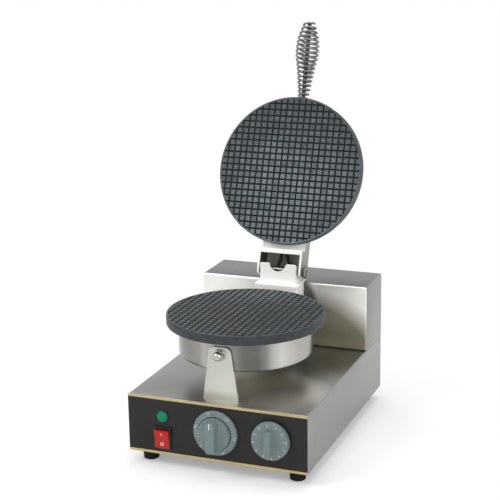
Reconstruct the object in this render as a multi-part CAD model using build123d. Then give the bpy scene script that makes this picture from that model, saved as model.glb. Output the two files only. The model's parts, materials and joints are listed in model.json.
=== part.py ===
"""Single-head waffle-cone iron: a round lower iron on a counter-top case and an upper
iron on a yoke that swings down over it.

Millimetres.  +Z is up, X runs across the machine and the front panel faces -Y.  The origin
is on the counter, below the middle of the machine.  The lid is drawn closed, where its
plate lies over the lower one, and is then swung open about the hinge pin.
"""
import os
from math import cos, pi, radians, sin, sqrt, tan

from build123d import *

# ---- case -------------------------------------------------------------------
BASE_W = 240.0            # across X
BASE_D = 324.5            # front panel to back
BASE_H = 76.5             # underside to deck
FRONT_Y = -176.0          # plane of the front panel
SHEET = 1.2               # folded stainless sheet
BEND = 1.4                # its outside folds, drawn as narrow flats
LIP_W = 34.0              # inward lip round the open underside
FASCIA_T = 0.8            # printed front panel
HOUSING_H = 90.9          # rear housing above the deck
WIRE_SLOT_W = 110.0       # opening in the deck below the housing
WIRE_SLOT_D = 34.0
FIT = 0.3                 # clearance round a plate that drops into a case
VENT_L = 50.0             # vent slots in the covers
VENT_W = 4.0
VENT_PITCH = 14.0
VENT_ROWS = 5
TAB = 12.0                # screw tabs at the corners of the rear opening
THROUGH = 1.0             # how far a cutting tool runs past what it cuts
HEX = 6                   # sides of nuts, leads and screw holes
OCTAGON = 8
ROUND = 12                # sides of a small round bar or bore

# ---- feet and small screws ----------------------------------------------------
FOOT_D = 22.0
FOOT_H = 16.0
FOOT_TAPER = 1.0          # a foot is this much narrower in radius at the counter
FOOT_INSET_X = 20.0       # foot centre from the side
FOOT_INSET_Y = 21.6       # foot centre from the front or back
SCREW_R = 2.0             # shank of the small screws
SCREW_HEAD_R = 3.6
SCREW_HEAD_H = 2.0
SCREW_TAPER = 0.7         # a head is this much narrower in radius on top
SCREW_SPARE = 1.0         # shank beyond the sheets that it holds
SCREW_CLEAR = 0.25        # round a shank in its hole

# ---- irons --------------------------------------------------------------------
PLATE_R = 102.6
PLATE_T = 12.0
BORDER_W = 2.4            # plain border outside the grid
PAD_PITCH = 8.8
GROOVE_W = 2.6
GROOVE_DEPTH = 2.0
SPIGOT_H = 4.0            # step behind the plate that centres the shell
SHELL_R = 87.0
SHELL_H = 40.0
SHELL_T = 1.2
SHELL_CHAMFER = 3.0
SHELL_SIDES = 48          # flat panes that make up a pan's wall
IRON_SETBACK = 107.0      # plate centre behind the front panel
IRON_LIFT = 36.6          # shell end above the deck
CONE_GAP = 3.0            # between the pads when the lid is shut: the thickness of a cone
HEATER_GAP = 12.8         # corners of the eight-sided element inside the shell
HEATER_HOLE_GAP = 7.5     # between the standoffs and the element
HEATER_T = 6.0
CLAMP_INSET = 6.0         # clamp plate smaller than the element
CLAMP_T = 2.0
WOOL_GAP = 0.6            # between the wool's corners and the chamfer of the pan
STANDOFF_R = 4.5          # hexagonal pillars, corner radius
STANDOFF_RING_R = 34.0
STANDOFF_COUNT = 3

# ---- front support --------------------------------------------------------------
SUPPORT_T = 2.5
SUPPORT_FOOT_W = 47.0
SUPPORT_TOP_W = 28.0
SUPPORT_H = 69.0          # above the deck
SUPPORT_CORNER_R = 8.0
SUPPORT_TOE_W = 34.0      # toe turned back along the deck
SUPPORT_TOE_L = 16.0
STUD_R = 3.0
STUD_DROP = 10.0          # stud below the top of the support
STUD_HEAD_T = 1.4
WASHER_R = 7.6
WASHER_T = 1.4
WASHER_SIDES = 16
NUT_R = 6.4               # corner radius of the hexagon
NUT_H = 6.0
DOME_FOOT_R = 5.4
DOME_SHOULDER_R = 4.75
DOME_SHOULDER_H = 3.0
DOME_TOP_R = 2.8
DOME_H = 5.0

# ---- hinge ----------------------------------------------------------------------
LID_OPEN = 110.4          # swing from shut to the open stop, degrees
PIN_SETBACK = 16.5        # pin behind the bracket's front
PIN_RISE = 15.0           # pin above the upper plate's face when shut
PIN_R = 4.0               # round ends of the pin, in the yoke
PIN_BODY_R = 5.0          # twelve-sided middle of the pin, fixed in the bracket
PIN_CLEAR = 0.05          # round the pin's ends in the yoke
PIN_END_GAP = 0.1         # between the yoke's arms and what the pin holds beside them
STOP_GAP = 0.4            # left between the yoke and the plinth at both stops
PLINTH_W = 61.0
PLINTH_T = 1.6
PLINTH_D = 31.5           # plinth front to riser
PLINTH_TOP = 4.0          # plinth top above the lower plate's face
PLINTH_GAP = 7.4          # plinth behind the plate's edge
PLINTH_LAP = 13.5         # top of the plinth lying on the housing
PLINTH_DROP = 61.0        # plinth front wall, top to bottom edge
GUSSET_TOE = 8.0          # side gusset at its lower end
GUSSET_HEEL = 19.0        # side gusset height where it meets the housing
BRACKET_W = 51.0
BRACKET_T = 2.5
BRACKET_SETBACK = 10.5    # bracket behind the plinth's front
BRACKET_H = 27.2          # front wall above the plinth
NOTCH_R = 11.7
NOTCH_DEPTH = 10.5
EAR_R = 9.0               # ear round the pin
YOKE_W = 63.0
YOKE_T = 3.0
YOKE_REAR = 31.6          # yoke depth behind the face of its plate
YOKE_GAP = 6.4            # web behind the plate's edge
YOKE_WEB = 6.0            # depth of the web's turned edge
YOKE_BACK_T = 1.5         # sheet that closes the back of the yoke down to the pin
YOKE_ROOT_GAP = 3.2       # arms start this far outside the shell
YOKE_STEP = 0.8           # arms clear the plate's underside
YOKE_HEEL_TURN = 30.0     # rounded foot of the yoke, degrees about the pin
HINGE_NUT_H = 4.0
BLOCK_LAP = 8.0           # block into the curve of the shell

# ---- heater leads -----------------------------------------------------------------
LEAD_R = 2.6
LEAD_SPACING = 13.0
LEAD_PINCH = 0.75         # the lid's leads are closer together in the lid
LEAD_HOLE_W = 30.0
LEAD_HOLE_D = 11.0
LEAD_HOLE_GAP = 0.5       # way down for the leads behind the pin
LEAD_BEND = 12.0          # cut across the corner where the lower leads turn down
LEAD_TAIL = 20.0          # lower leads below the deck
DUCT_W = 36.0
DUCT_H = 26.0
DUCT_DROP = 8.0           # duct top below the plate's underside
DUCT_T = 1.5
DUCT_LAP = 12.0           # duct into the curve of the shell
WINDOW_SILL = 2.0         # window in the riser behind the plinth, above the gussets' heel
WINDOW_H = 12.0

# ---- handle -------------------------------------------------------------------------
HANDLE_OUT = 113.0        # coil beyond the plate's edge
HANDLE_RISE = 26.0        # axis behind the plate's face, at the plate's edge
HANDLE_TILT = 4.15        # towards the face, degrees
ROD_R = 3.0
ROD_INSIDE = 10.0         # rod inside the shell
WOOL_NOTCH_W = 22.0       # notches in the pads for the handle and the leads
WOOL_NOTCH_D = 16.0
COIL_WIRE = 3.0
COIL_PITCH = 6.3
COIL_SEGMENTS = 6         # straight runs in each turn
WIRE_SIDES = 4
COIL_SEAT = 1.25          # middle of the wire's first turn above the collar
COIL_PROFILE = ((0.0, 7.4), (0.10, 7.6), (0.36, 10.8), (0.70, 16.0), (0.90, 12.8), (1.0, 8.3))
COLLAR_R = 7.0            # hexagonal collar where the rod enters the shell
COLLAR_T = 5.0
COLLAR_LAP = 2.0          # collar into the curve of the shell

# ---- controls -----------------------------------------------------------------------
DIAL_X = 0.0
DIAL_Z = 39.5             # above the underside of the case
DIAL_R = 29.5
DIAL_T = 5.0
DIAL_CHAMFER = 1.4
KNOB_R = 21.7
KNOB_H = 4.8
KNOB_GAP = 0.4
KNOB_DRAFT = 1.0          # a knob is this much narrower in radius in front
KNOB_SIDES = 30
KNOB_GRIP_W = 14.0        # tall finger bar across the thermostat knob
KNOB_GRIP_H = 19.0
KNOB_GRIP_INSET = 0.3     # bar's corners inside the knob's rim
GRIP_CHAMFER = 1.2
SHAFT_R = 3.0
SHAFT_CLEAR = 0.05
SHAFT_HOLE_R = 4.5        # in the panel and the dial
TIMER_INSET = 46.5        # timer from the right side of the case
TIMER_Z = 40.0
TIMER_R = 25.0
TIMER_T = 6.5
TIMER_STANDOFF = 1.5
TIMER_GRIP_W = 8.5
TIMER_GRIP_H = 11.0
TIMER_GRIP_INSET = 9.5
CONTROL_W = 42.0          # thermostat and timer bodies behind the panel
CONTROL_H = 34.0
CONTROL_D = 30.0
CONTROL_CHAMFER = 4.0
SWITCH_INSET = 47.0       # switch from the left side of the case
SWITCH_Z = 22.2
SWITCH_W = 20.0           # opening of the frame
SWITCH_H = 26.0
SWITCH_D = 22.0
SWITCH_WALL = 0.8
SWITCH_FLOOR = 3.0
SWITCH_RIM = 1.6          # rim on the panel, wider than the wall
SWITCH_PROUD = 1.8
ROCKER_TILT = 7.0         # each way from level, degrees
ROCKER_CLEAR = 0.4
ROCKER_CREST = 2.6        # rocker faces above the rim
ROCKER_PIVOT = 3.0        # pivot behind the panel
TRUNNION_R = 1.2          # round stubs of the rocker, in the walls of the frame
TRUNNION_CLEAR = 0.05
LAMP_INSET = 48.0         # lamp from the left side of the case
LAMP_Z = 51.5
LAMP_R = 6.4
LAMP_WALL = 0.8
LAMP_SIDES = 16
LAMP_RIM = 1.6
LAMP_RIM_T = 1.2
LAMP_SEAT = 6.0           # lens into the barrel
LAMP_HEAD_R = 7.2         # lens in front of the rim
LAMP_PROUD = 4.0
LAMP_BEVEL = 2.2          # lens's front edge
LAMP_BODY = 18.0
BULB_R = 2.8
BULB_L = 56.0
BULB_Y = 9.0              # bulb behind the plate centre
GLAND_INSET = 42.0        # gland from the left side of the case
GLAND_Z = 30.0
GLAND_R = 11.0            # hexagon, corner radius
GLAND_CAP_R = 8.2
GLAND_STEM_R = 7.3        # threaded stem through the wall
GLAND_STEM_L = 8.0
GLAND_BORE_R = 4.2
GLAND_HEX_T = 8.0
GLAND_OUT = 16.0
EARTH_SPACING = 38.0      # earth screw from the gland
EARTH_L = 12.0
TERMINAL_L = 54.0
TERMINAL_D = 20.0
TERMINAL_H = 14.0
TERMINAL_SLOT_W = 8.0
TERMINAL_SLOT_D = 5.0
TERMINAL_INSET = 68.0     # terminals from the back wall

# ---- places that follow ---------------------------------------------------------------
BASE_Z = FOOT_H
DECK_Z = BASE_Z + BASE_H
BACK_Y = FRONT_Y + BASE_D
HOUSING_TOP = DECK_Z + HOUSING_H
WALL_Y = FRONT_Y + FASCIA_T
IRON_Y = FRONT_Y + IRON_SETBACK
FACE_Z = DECK_Z + IRON_LIFT + SHELL_H + PLATE_T
LID_FACE_Z = FACE_Z + CONE_GAP
PLINTH_Z = FACE_Z + PLINTH_TOP
PLINTH_Y = IRON_Y + PLATE_R + PLINTH_GAP
HOUSING_Y = PLINTH_Y + PLINTH_D
BRACKET_Y = PLINTH_Y + BRACKET_SETBACK
PIN_Y = BRACKET_Y + PIN_SETBACK
PIN_Z = LID_FACE_Z + PIN_RISE
PIN_AXIS = Axis((0, PIN_Y, PIN_Z), (1, 0, 0))
YOKE_Z = PLINTH_Z + STOP_GAP
YOKE_Y = IRON_Y + PLATE_R + YOKE_GAP
YOKE_TOP = LID_FACE_Z + YOKE_REAR
LEAN = radians(LID_OPEN - 90)
KNOB_FRONT = DIAL_T + KNOB_GAP + KNOB_H
TIMER_FRONT = TIMER_STANDOFF + TIMER_T
TIMER_X = BASE_W / 2 - TIMER_INSET
SWITCH_X = SWITCH_INSET - BASE_W / 2
LAMP_X = LAMP_INSET - BASE_W / 2
GLAND_X = GLAND_INSET - BASE_W / 2
EARTH_X = GLAND_X + EARTH_SPACING
FIELD_R = PLATE_R - BORDER_W
HEATER_R = SHELL_R - HEATER_GAP
CLAMP_R = HEATER_R - CLAMP_INSET
HEATER_HOLE_R = STANDOFF_RING_R + STANDOFF_R + HEATER_HOLE_GAP
WOOL_R = SHELL_R - SHELL_T - SHELL_CHAMFER - WOOL_GAP
HEATER_TOP = -PLATE_T - SPIGOT_H
CLAMP_TOP = HEATER_TOP - HEATER_T
WOOL_TOP = CLAMP_TOP - CLAMP_T
IRON_FLOOR = -PLATE_T - SHELL_H + SHELL_T
SUPPORT_Y = IRON_Y - SHELL_R
STUD_Z = DECK_Z + SUPPORT_H - STUD_DROP
ARM_OUT = YOKE_W / 2
ARM_IN = ARM_OUT - YOKE_T
COIL_END = PLATE_R - SHELL_R + HANDLE_OUT


# ---- drawing helpers ---------------------------------------------------------------------
def block(x0, x1, y0, y1, z0, z1):
    """A block given by the places of its six faces."""
    return Pos((x0 + x1) / 2, (y0 + y1) / 2, (z0 + z1) / 2) * Box(x1 - x0, y1 - y0, z1 - z0)


def rod_x(radius, x0, x1, y, z):
    """A round bar along X."""
    return Pos((x0 + x1) / 2, y, z) * Rot(0, 90, 0) * Cylinder(radius, x1 - x0)


def rod_y(radius, y0, y1, x, z):
    """A round bar along Y."""
    return Pos(x, (y0 + y1) / 2, z) * Rot(90, 0, 0) * Cylinder(radius, y1 - y0)


def rod_z(radius, z0, z1, x=0, y=0):
    """A round bar along Z."""
    return Pos(x, y, (z0 + z1) / 2) * Cylinder(radius, z1 - z0)


def ngon_y(radius, sides, y0, y1, x, z):
    """A bar of regular section along Y."""
    plane = Plane(origin=(x, y1, z), x_dir=(1, 0, 0), z_dir=(0, -1, 0))
    return extrude(plane * RegularPolygon(radius, sides), y1 - y0)


def ngon_z(radius, sides, z0, z1, x=0, y=0):
    """A bar of regular section along Z."""
    return Pos(x, y, z0) * extrude(RegularPolygon(radius, sides), z1 - z0)


def slab_x(outline, x0, x1):
    """A (y, z) outline drawn out from x0 to x1."""
    face = make_face(Polyline(*outline, close=True))
    return extrude(Plane(origin=(x0, 0, 0), x_dir=(0, 1, 0), z_dir=(1, 0, 0)) * face, x1 - x0)


def slab_y(face, y0, y1):
    """A face drawn in (x, z), drawn out from y0 to y1."""
    return extrude(Plane(origin=(0, y1, 0), x_dir=(1, 0, 0), z_dir=(0, -1, 0)) * face, y1 - y0)


def faceted(outline, sides):
    """A (radius, z) outline, from the axis round to the axis, set about Z in flat panes."""
    turns = [2 * pi * k / sides for k in range(sides)]
    rings = [[Vector(r * cos(a), r * sin(a), z) for a in turns] for r, z in outline[1:-1]]
    faces = [Face(Wire.make_polygon(rings[0][::-1])), Face(Wire.make_polygon(rings[-1]))]
    for low, high in zip(rings, rings[1:]):
        for k in range(sides):
            n = (k + 1) % sides
            faces.append(Face(Wire.make_polygon([low[k], low[n], high[n], high[k]])))
    return Solid(Shell(faces))


def faceted_tube(path, radius, sides):
    """A bar of regular section along straight runs, mitred where they meet."""
    points = [Vector(p) for p in path]
    rings = []
    across = Vector(1, 0, 0) if abs((points[1] - points[0]).normalized().X) < 0.9 else Vector(0, 1, 0)
    for i, point in enumerate(points):
        behind = points[max(i - 1, 0)]
        ahead = points[min(i + 1, len(points) - 1)]
        along = (ahead - behind).normalized()
        across = (across - along * across.dot(along)).normalized()
        up = along.cross(across)
        turns = [2 * pi * (k + 0.5) / sides for k in range(sides)]
        rings.append([point + across * (radius * cos(a)) + up * (radius * sin(a)) for a in turns])
    faces = [Face(Wire.make_polygon(rings[0][::-1])), Face(Wire.make_polygon(rings[-1]))]
    for low, high in zip(rings, rings[1:]):
        for k in range(sides):
            n = (k + 1) % sides
            faces.append(Face(Wire.make_polygon([low[k], low[n], high[n]])))
            faces.append(Face(Wire.make_polygon([low[k], high[n], high[k]])))
    return Solid(Shell(faces))


def swing_open(part):
    """A piece of the lid, drawn shut, at its open stop."""
    return part.rotate(PIN_AXIS, -LID_OPEN)


def swung(y, z):
    """Where a point of the shut lid is at the open stop."""
    turn = radians(-LID_OPEN)
    dy, dz = y - PIN_Y, z - PIN_Z
    return PIN_Y + dy * cos(turn) - dz * sin(turn), PIN_Z + dy * sin(turn) + dz * cos(turn)


def lower(part):
    """An iron's piece, drawn face up at the origin, in the lower iron."""
    return Pos(0, IRON_Y, FACE_Z) * part


def upper(part):
    """An iron's piece, drawn face up at the origin, turned over in the open lid."""
    return swing_open(Pos(0, IRON_Y, LID_FACE_Z) * Rot(0, 180, 0) * part)


def screws(places, head_side, depth):
    """Pan-head screws: places of the head's underside, the head's direction and shank depth."""
    head = faceted([(0, 0), (SCREW_HEAD_R, 0), (SCREW_HEAD_R - SCREW_TAPER, SCREW_HEAD_H),
                    (0, SCREW_HEAD_H)], OCTAGON)
    screw = head + ngon_z(SCREW_R, HEX, -depth, 0)
    return Compound(children=[Plane(origin=place, x_dir=(1, 0, 0), z_dir=head_side) * screw
                              for place in places])


# ---- case ------------------------------------------------------------------------------
def foot_places():
    x = BASE_W / 2 - FOOT_INSET_X
    return [(sx * x, y) for sx in (-1, 1) for y in (FRONT_Y + FOOT_INSET_Y, BACK_Y - FOOT_INSET_Y)]


def folded_case(y0, y1, z0, z1):
    """The outside of a folded box: its upright and upper edges are bends."""
    body = block(-BASE_W / 2, BASE_W / 2, y0, y1, z0, z1)
    bends = body.edges().filter_by(Axis.Z) + body.faces().sort_by(Axis.Z)[-1].edges()
    return chamfer(bends, BEND)


def panel_holes(y0, y1):
    """What is cut through the front wall and the fascia for the controls."""
    z = BASE_Z
    w = SWITCH_W / 2 + SWITCH_WALL + FIT
    h = SWITCH_H / 2 + SWITCH_WALL + FIT
    return [
        ngon_y(SHAFT_HOLE_R, ROUND, y0, y1, DIAL_X, z + DIAL_Z),
        ngon_y(SHAFT_HOLE_R, ROUND, y0, y1, TIMER_X, z + TIMER_Z),
        ngon_y(LAMP_R + FIT, LAMP_SIDES, y0, y1, LAMP_X, z + LAMP_Z),
        block(SWITCH_X - w, SWITCH_X + w, y0, y1, z + SWITCH_Z - h, z + SWITCH_Z + h),
    ]


def base_shell():
    """Case: deck, four walls and an inward lip round the underside."""
    half = BASE_W / 2 - SHEET
    shell = folded_case(WALL_Y, BACK_Y, BASE_Z, DECK_Z)
    shell -= block(-half, half, WALL_Y + SHEET, BACK_Y - SHEET, BASE_Z + SHEET, DECK_Z - SHEET)
    lip = BASE_W / 2 - LIP_W
    shell -= block(-lip, lip, WALL_Y + LIP_W, BACK_Y - LIP_W, BASE_Z - THROUGH, BASE_Z + SHEET + THROUGH)
    slot_y = (HOUSING_Y + BACK_Y) / 2
    shell -= block(-WIRE_SLOT_W / 2, WIRE_SLOT_W / 2, slot_y - WIRE_SLOT_D / 2, slot_y + WIRE_SLOT_D / 2,
                   DECK_Z - SHEET - THROUGH, DECK_Z + THROUGH)
    shell -= panel_holes(WALL_Y - THROUGH, WALL_Y + SHEET + THROUGH)
    y0, y1 = BACK_Y - SHEET - THROUGH, BACK_Y + THROUGH
    shell -= ngon_y(GLAND_STEM_R + FIT, ROUND, y0, y1, GLAND_X, BASE_Z + GLAND_Z)
    shell -= ngon_y(SCREW_R + SCREW_CLEAR, HEX, y0, y1, EARTH_X, BASE_Z + GLAND_Z)
    for x, y in foot_places():
        shell -= ngon_z(SCREW_R + SCREW_CLEAR, HEX, BASE_Z - THROUGH, BASE_Z + SHEET + THROUGH, x, y)
    return shell


def vent_places():
    """Where the vent slots are across a cover."""
    return [(i - (VENT_ROWS - 1) / 2) * VENT_PITCH for i in range(VENT_ROWS)]


def bottom_cover():
    """Floor of the case, lying on the lip, with vent slots."""
    z0 = BASE_Z + SHEET
    half = BASE_W / 2 - SHEET - FIT
    cover = block(-half, half, WALL_Y + SHEET + FIT, BACK_Y - SHEET - FIT, z0, z0 + SHEET)
    y = (FRONT_Y + BACK_Y) / 2
    for x in vent_places():
        cover -= block(x - VENT_W / 2, x + VENT_W / 2, y - VENT_L / 2, y + VENT_L / 2,
                       z0 - THROUGH, z0 + SHEET + THROUGH)
    for x, y in foot_places():
        cover -= ngon_z(SCREW_R + SCREW_CLEAR, HEX, z0 - THROUGH, z0 + SHEET + THROUGH, x, y)
    return cover


def rear_housing():
    """Riser at the back: front, top and sides; open below and behind, with screw tabs."""
    half = BASE_W / 2 - SHEET
    top = HOUSING_TOP - SHEET
    shell = folded_case(HOUSING_Y, BACK_Y, DECK_Z, HOUSING_TOP)
    shell -= block(-half, half, HOUSING_Y + SHEET, BACK_Y + THROUGH, DECK_Z - THROUGH, top)
    way = DUCT_W / 2
    shell -= block(-way, way, HOUSING_Y - THROUGH, HOUSING_Y + SHEET + THROUGH, window_z(0), window_z(1))
    shell -= lead_hole(top - THROUGH, HOUSING_TOP + THROUGH)
    tab_y = BACK_Y - SHEET
    for side in (-1, 1):
        for z0 in (DECK_Z, top - TAB):
            x0, x1 = sorted((side * half, side * (half - TAB)))
            shell += block(x0, x1, tab_y - SHEET, tab_y, z0, z0 + TAB)
    for x, z in cover_screw_places():
        shell -= ngon_y(SCREW_R + SCREW_CLEAR, HEX, tab_y - SHEET - THROUGH, tab_y + THROUGH, x, z)
    return shell


def window_z(share):
    """Height in the window behind the plinth, from its sill (0) to its head (1)."""
    return HOUSING_TOP - GUSSET_HEEL + WINDOW_SILL + share * WINDOW_H


def cover_screw_places():
    x = BASE_W / 2 - SHEET - TAB / 2
    return [(side * x, z) for side in (-1, 1) for z in (DECK_Z + TAB / 2, HOUSING_TOP - SHEET - TAB / 2)]


def rear_cover():
    """Back of the riser, dropped in flush, with vent slots."""
    half = BASE_W / 2 - SHEET - FIT
    cover = block(-half, half, BACK_Y - SHEET, BACK_Y, DECK_Z + FIT, HOUSING_TOP - SHEET - FIT)
    z = (DECK_Z + HOUSING_TOP) / 2
    y0, y1 = BACK_Y - SHEET - THROUGH, BACK_Y + THROUGH
    for x in vent_places():
        cover -= block(x - VENT_W / 2, x + VENT_W / 2, y0, y1, z - VENT_L / 2, z + VENT_L / 2)
    for x, z in cover_screw_places():
        cover -= ngon_y(SCREW_R + SCREW_CLEAR, HEX, y0, y1, x, z)
    return cover


def cover_screws():
    return screws([(x, BACK_Y, z) for x, z in cover_screw_places()], (0, 1, 0), 2 * SHEET + SCREW_SPARE)


def feet():
    """Four tapered rubber feet under the corners."""
    foot = faceted([(0, 0), (FOOT_D / 2 - FOOT_TAPER, 0), (FOOT_D / 2, FOOT_H), (0, FOOT_H)], ROUND)
    return Compound(children=[Pos(x, y, 0) * foot for x, y in foot_places()])


def foot_screws():
    """Screws from inside the case down into the feet."""
    top = BASE_Z + 2 * SHEET
    return screws([(x, y, top) for x, y in foot_places()], (0, 0, 1), 2 * SHEET)


def front_fascia():
    """Printed panel over the whole front of the case."""
    panel = block(-BASE_W / 2, BASE_W / 2, FRONT_Y, WALL_Y, BASE_Z, DECK_Z)
    return panel - panel_holes(FRONT_Y - THROUGH, WALL_Y + THROUGH)


# ---- irons -------------------------------------------------------------------------------
def groove(offset):
    """A V groove along X at this Y, ending at the plain border."""
    half = GROOVE_W / 2
    reach = sqrt(FIELD_R ** 2 - (abs(offset) + half) ** 2)
    outline = [(offset - half, 0), (offset, -GROOVE_DEPTH), (offset + half, 0),
               (offset + half, THROUGH), (offset - half, THROUGH)]
    return slab_x(outline, -reach, reach)


def iron_plate():
    """Cast plate, face up at z = 0: square pads between crossed V grooves, plain border, spigot."""
    spigot_r = SHELL_R - SHELL_T - FIT
    plate = rod_z(PLATE_R, -PLATE_T, 0) + ngon_z(spigot_r, SHELL_SIDES, HEATER_TOP, -PLATE_T)
    count = int((FIELD_R - GROOVE_W) / PAD_PITCH + 0.5)
    grooves = [groove((i + 0.5) * PAD_PITCH) for i in range(-count, count)]
    plate -= grooves
    return plate - [Rot(0, 0, 90) * g for g in grooves]


def iron_shell():
    """Sheet pan behind a plate: open against the plate, closed end chamfered."""
    top = -PLATE_T
    end = top - SHELL_H
    inner = SHELL_R - SHELL_T
    slope = SHELL_T * tan(pi / 8)
    return faceted([(0, end), (SHELL_R - SHELL_CHAMFER, end), (SHELL_R, end + SHELL_CHAMFER), (SHELL_R, top),
                    (inner, top), (inner, end + SHELL_CHAMFER + slope),
                    (inner - SHELL_CHAMFER + slope, IRON_FLOOR), (0, IRON_FLOOR)], SHELL_SIDES)


def shell_core(z0, z1):
    """The room that a pan takes up, for cutting what fits against it."""
    return ngon_z(SHELL_R, SHELL_SIDES, z0, z1, 0, IRON_Y)


def standoff_places():
    step = 360 / STANDOFF_COUNT
    return [Rot(0, 0, 90 + i * step) * Pos(STANDOFF_RING_R, 0, 0) for i in range(STANDOFF_COUNT)]


def prisms(radius, sides, z0, z1, places):
    """Upright bars of regular section."""
    face = RegularPolygon(radius, sides)
    return [place * Pos(0, 0, z0) * extrude(face, z1 - z0) for place in places]


def heating_element():
    """Flat eight-sided element on the back of a plate."""
    ring = RegularPolygon(HEATER_R, OCTAGON) - RegularPolygon(HEATER_HOLE_R, OCTAGON)
    return Pos(0, 0, CLAMP_TOP) * extrude(ring, HEATER_T)


def clamp_plate():
    """Presses the element on the plate; the standoffs pass through it."""
    plate = Pos(0, 0, CLAMP_TOP - CLAMP_T) * extrude(RegularPolygon(CLAMP_R, OCTAGON), CLAMP_T)
    z0 = CLAMP_TOP - CLAMP_T - THROUGH
    return plate - prisms(STANDOFF_R + FIT, HEX, z0, CLAMP_TOP + THROUGH, standoff_places())


def wool_pad():
    """Mineral wool between the clamp plate and the end of the shell."""
    z0, z1 = IRON_FLOOR - THROUGH, WOOL_TOP + THROUGH
    pad = ngon_z(WOOL_R, ROUND, IRON_FLOOR, WOOL_TOP)
    half = WOOL_NOTCH_W / 2
    for y0, y1 in ((-WOOL_R - THROUGH, WOOL_NOTCH_D - WOOL_R), (WOOL_R - WOOL_NOTCH_D, WOOL_R + THROUGH)):
        pad -= block(-half, half, y0, y1, z0, z1)
    return pad - prisms(STANDOFF_R + FIT, HEX, z0, z1, standoff_places())


def standoffs():
    """Hexagonal pillars between a plate and the end of its shell."""
    return Compound(children=prisms(STANDOFF_R, HEX, IRON_FLOOR, HEATER_TOP, standoff_places()))


# ---- lower iron's supports ------------------------------------------------------------------
def stud_bar(radius, y0, y1):
    """A twelve-sided bar on the line of the front stud."""
    return ngon_y(radius, ROUND, y0, y1, 0, STUD_Z)


def stud_hole(y0, y1):
    return stud_bar(STUD_R + SCREW_CLEAR, y0 - THROUGH, y1 + THROUGH)


def duct_bore(y0, y1):
    """The inside of the lead duct."""
    x, top = DUCT_W / 2 - DUCT_T, duct_top() - DUCT_T
    return block(-x, x, y0 - THROUGH, y1 + THROUGH, top - DUCT_H + 2 * DUCT_T, top)


def lower_shell():
    """The lower pan, bored for the front stud and cut for the lead duct."""
    shell = lower(iron_shell()) - stud_hole(SUPPORT_Y, SUPPORT_Y + SHELL_T)
    return shell - duct_bore(IRON_Y + SHELL_R - DUCT_LAP, IRON_Y + SHELL_R)


def front_support():
    """Tapered upright with rounded shoulders and a narrow toe turned back along the deck."""
    foot, top = SUPPORT_FOOT_W / 2, SUPPORT_TOP_W / 2
    z1 = DECK_Z + SUPPORT_H
    face = make_face(Polyline((-foot, DECK_Z), (foot, DECK_Z), (top, z1), (-top, z1), close=True))
    face = fillet(face.vertices().sort_by(Axis.Y)[-2:], SUPPORT_CORNER_R)
    upright = slab_y(face, SUPPORT_Y - SUPPORT_T, SUPPORT_Y)
    half = SUPPORT_TOE_W / 2
    toe = block(-half, half, SUPPORT_Y, SUPPORT_Y + SUPPORT_TOE_L, DECK_Z, DECK_Z + SUPPORT_T)
    return upright + toe - stud_hole(SUPPORT_Y - SUPPORT_T, SUPPORT_Y)


def support_stud():
    """Threaded stud with its square head inside the lower shell."""
    y0 = SUPPORT_Y + SHELL_T + NUT_R * tan(pi / SHELL_SIDES)
    head = block(-NUT_R, NUT_R, y0, y0 + STUD_HEAD_T, STUD_Z - NUT_R, STUD_Z + NUT_R)
    return stud_bar(STUD_R, SUPPORT_Y - SUPPORT_T - WASHER_T - NUT_H, y0) + head


def support_washer():
    y1 = SUPPORT_Y - SUPPORT_T
    return ngon_y(WASHER_R, WASHER_SIDES, y1 - WASHER_T, y1, 0, STUD_Z) - stud_hole(y1 - WASHER_T, y1)


def dome_nut():
    """Hexagonal nut closed by a faceted dome."""
    y1 = SUPPORT_Y - SUPPORT_T - WASHER_T
    y0 = y1 - NUT_H
    dome = faceted([(0, 0), (DOME_FOOT_R, 0), (DOME_SHOULDER_R, DOME_SHOULDER_H), (DOME_TOP_R, DOME_H),
                    (0, DOME_H)], ROUND)
    nut = ngon_y(NUT_R, HEX, y0, y1, 0, STUD_Z) + Plane(origin=(0, y0, STUD_Z), z_dir=(0, -1, 0)) * dome
    return nut - stud_bar(STUD_R, y0, y1 + THROUGH)


def duct_top():
    return FACE_Z - PLATE_T - DUCT_DROP


def lead_duct():
    """Square tube that carries the lower iron's back and its leads to the plinth."""
    z0, z1 = duct_top() - DUCT_H, duct_top()
    y0 = IRON_Y + SHELL_R - DUCT_LAP
    tube = block(-DUCT_W / 2, DUCT_W / 2, y0, PLINTH_Y, z0, z1) - duct_bore(y0, PLINTH_Y)
    return tube - shell_core(z0 - THROUGH, z1 + THROUGH)


def hinge_plinth():
    """Folded bracket on the front of the riser: front wall, top lapping the riser, two gussets."""
    half, top = PLINTH_W / 2, PLINTH_Z
    low = top - PLINTH_DROP
    heel = HOUSING_Y
    front = block(-half, half, PLINTH_Y, PLINTH_Y + PLINTH_T, low, top)
    lid = block(-half, half, PLINTH_Y, heel + PLINTH_LAP, HOUSING_TOP, top)
    y_toe = PLINTH_Y + GUSSET_TOE
    gusset = [(PLINTH_Y, low), (y_toe, low), (heel, HOUSING_TOP - GUSSET_HEEL), (heel, top), (PLINTH_Y, top)]
    plinth = front + lid + slab_x(gusset, -half, PLINTH_T - half) + slab_x(gusset, half - PLINTH_T, half)
    plinth -= duct_bore(PLINTH_Y, PLINTH_Y + PLINTH_T)
    return plinth - lead_hole(HOUSING_TOP - THROUGH, top + THROUGH)


def lead_hole(z0, z1):
    """The way down for the lid's leads, behind the hinge pin."""
    y0 = PIN_Y + PIN_BODY_R + LEAD_HOLE_GAP
    return block(-LEAD_HOLE_W / 2, LEAD_HOLE_W / 2, y0, y0 + LEAD_HOLE_D, z0, z1)


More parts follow.
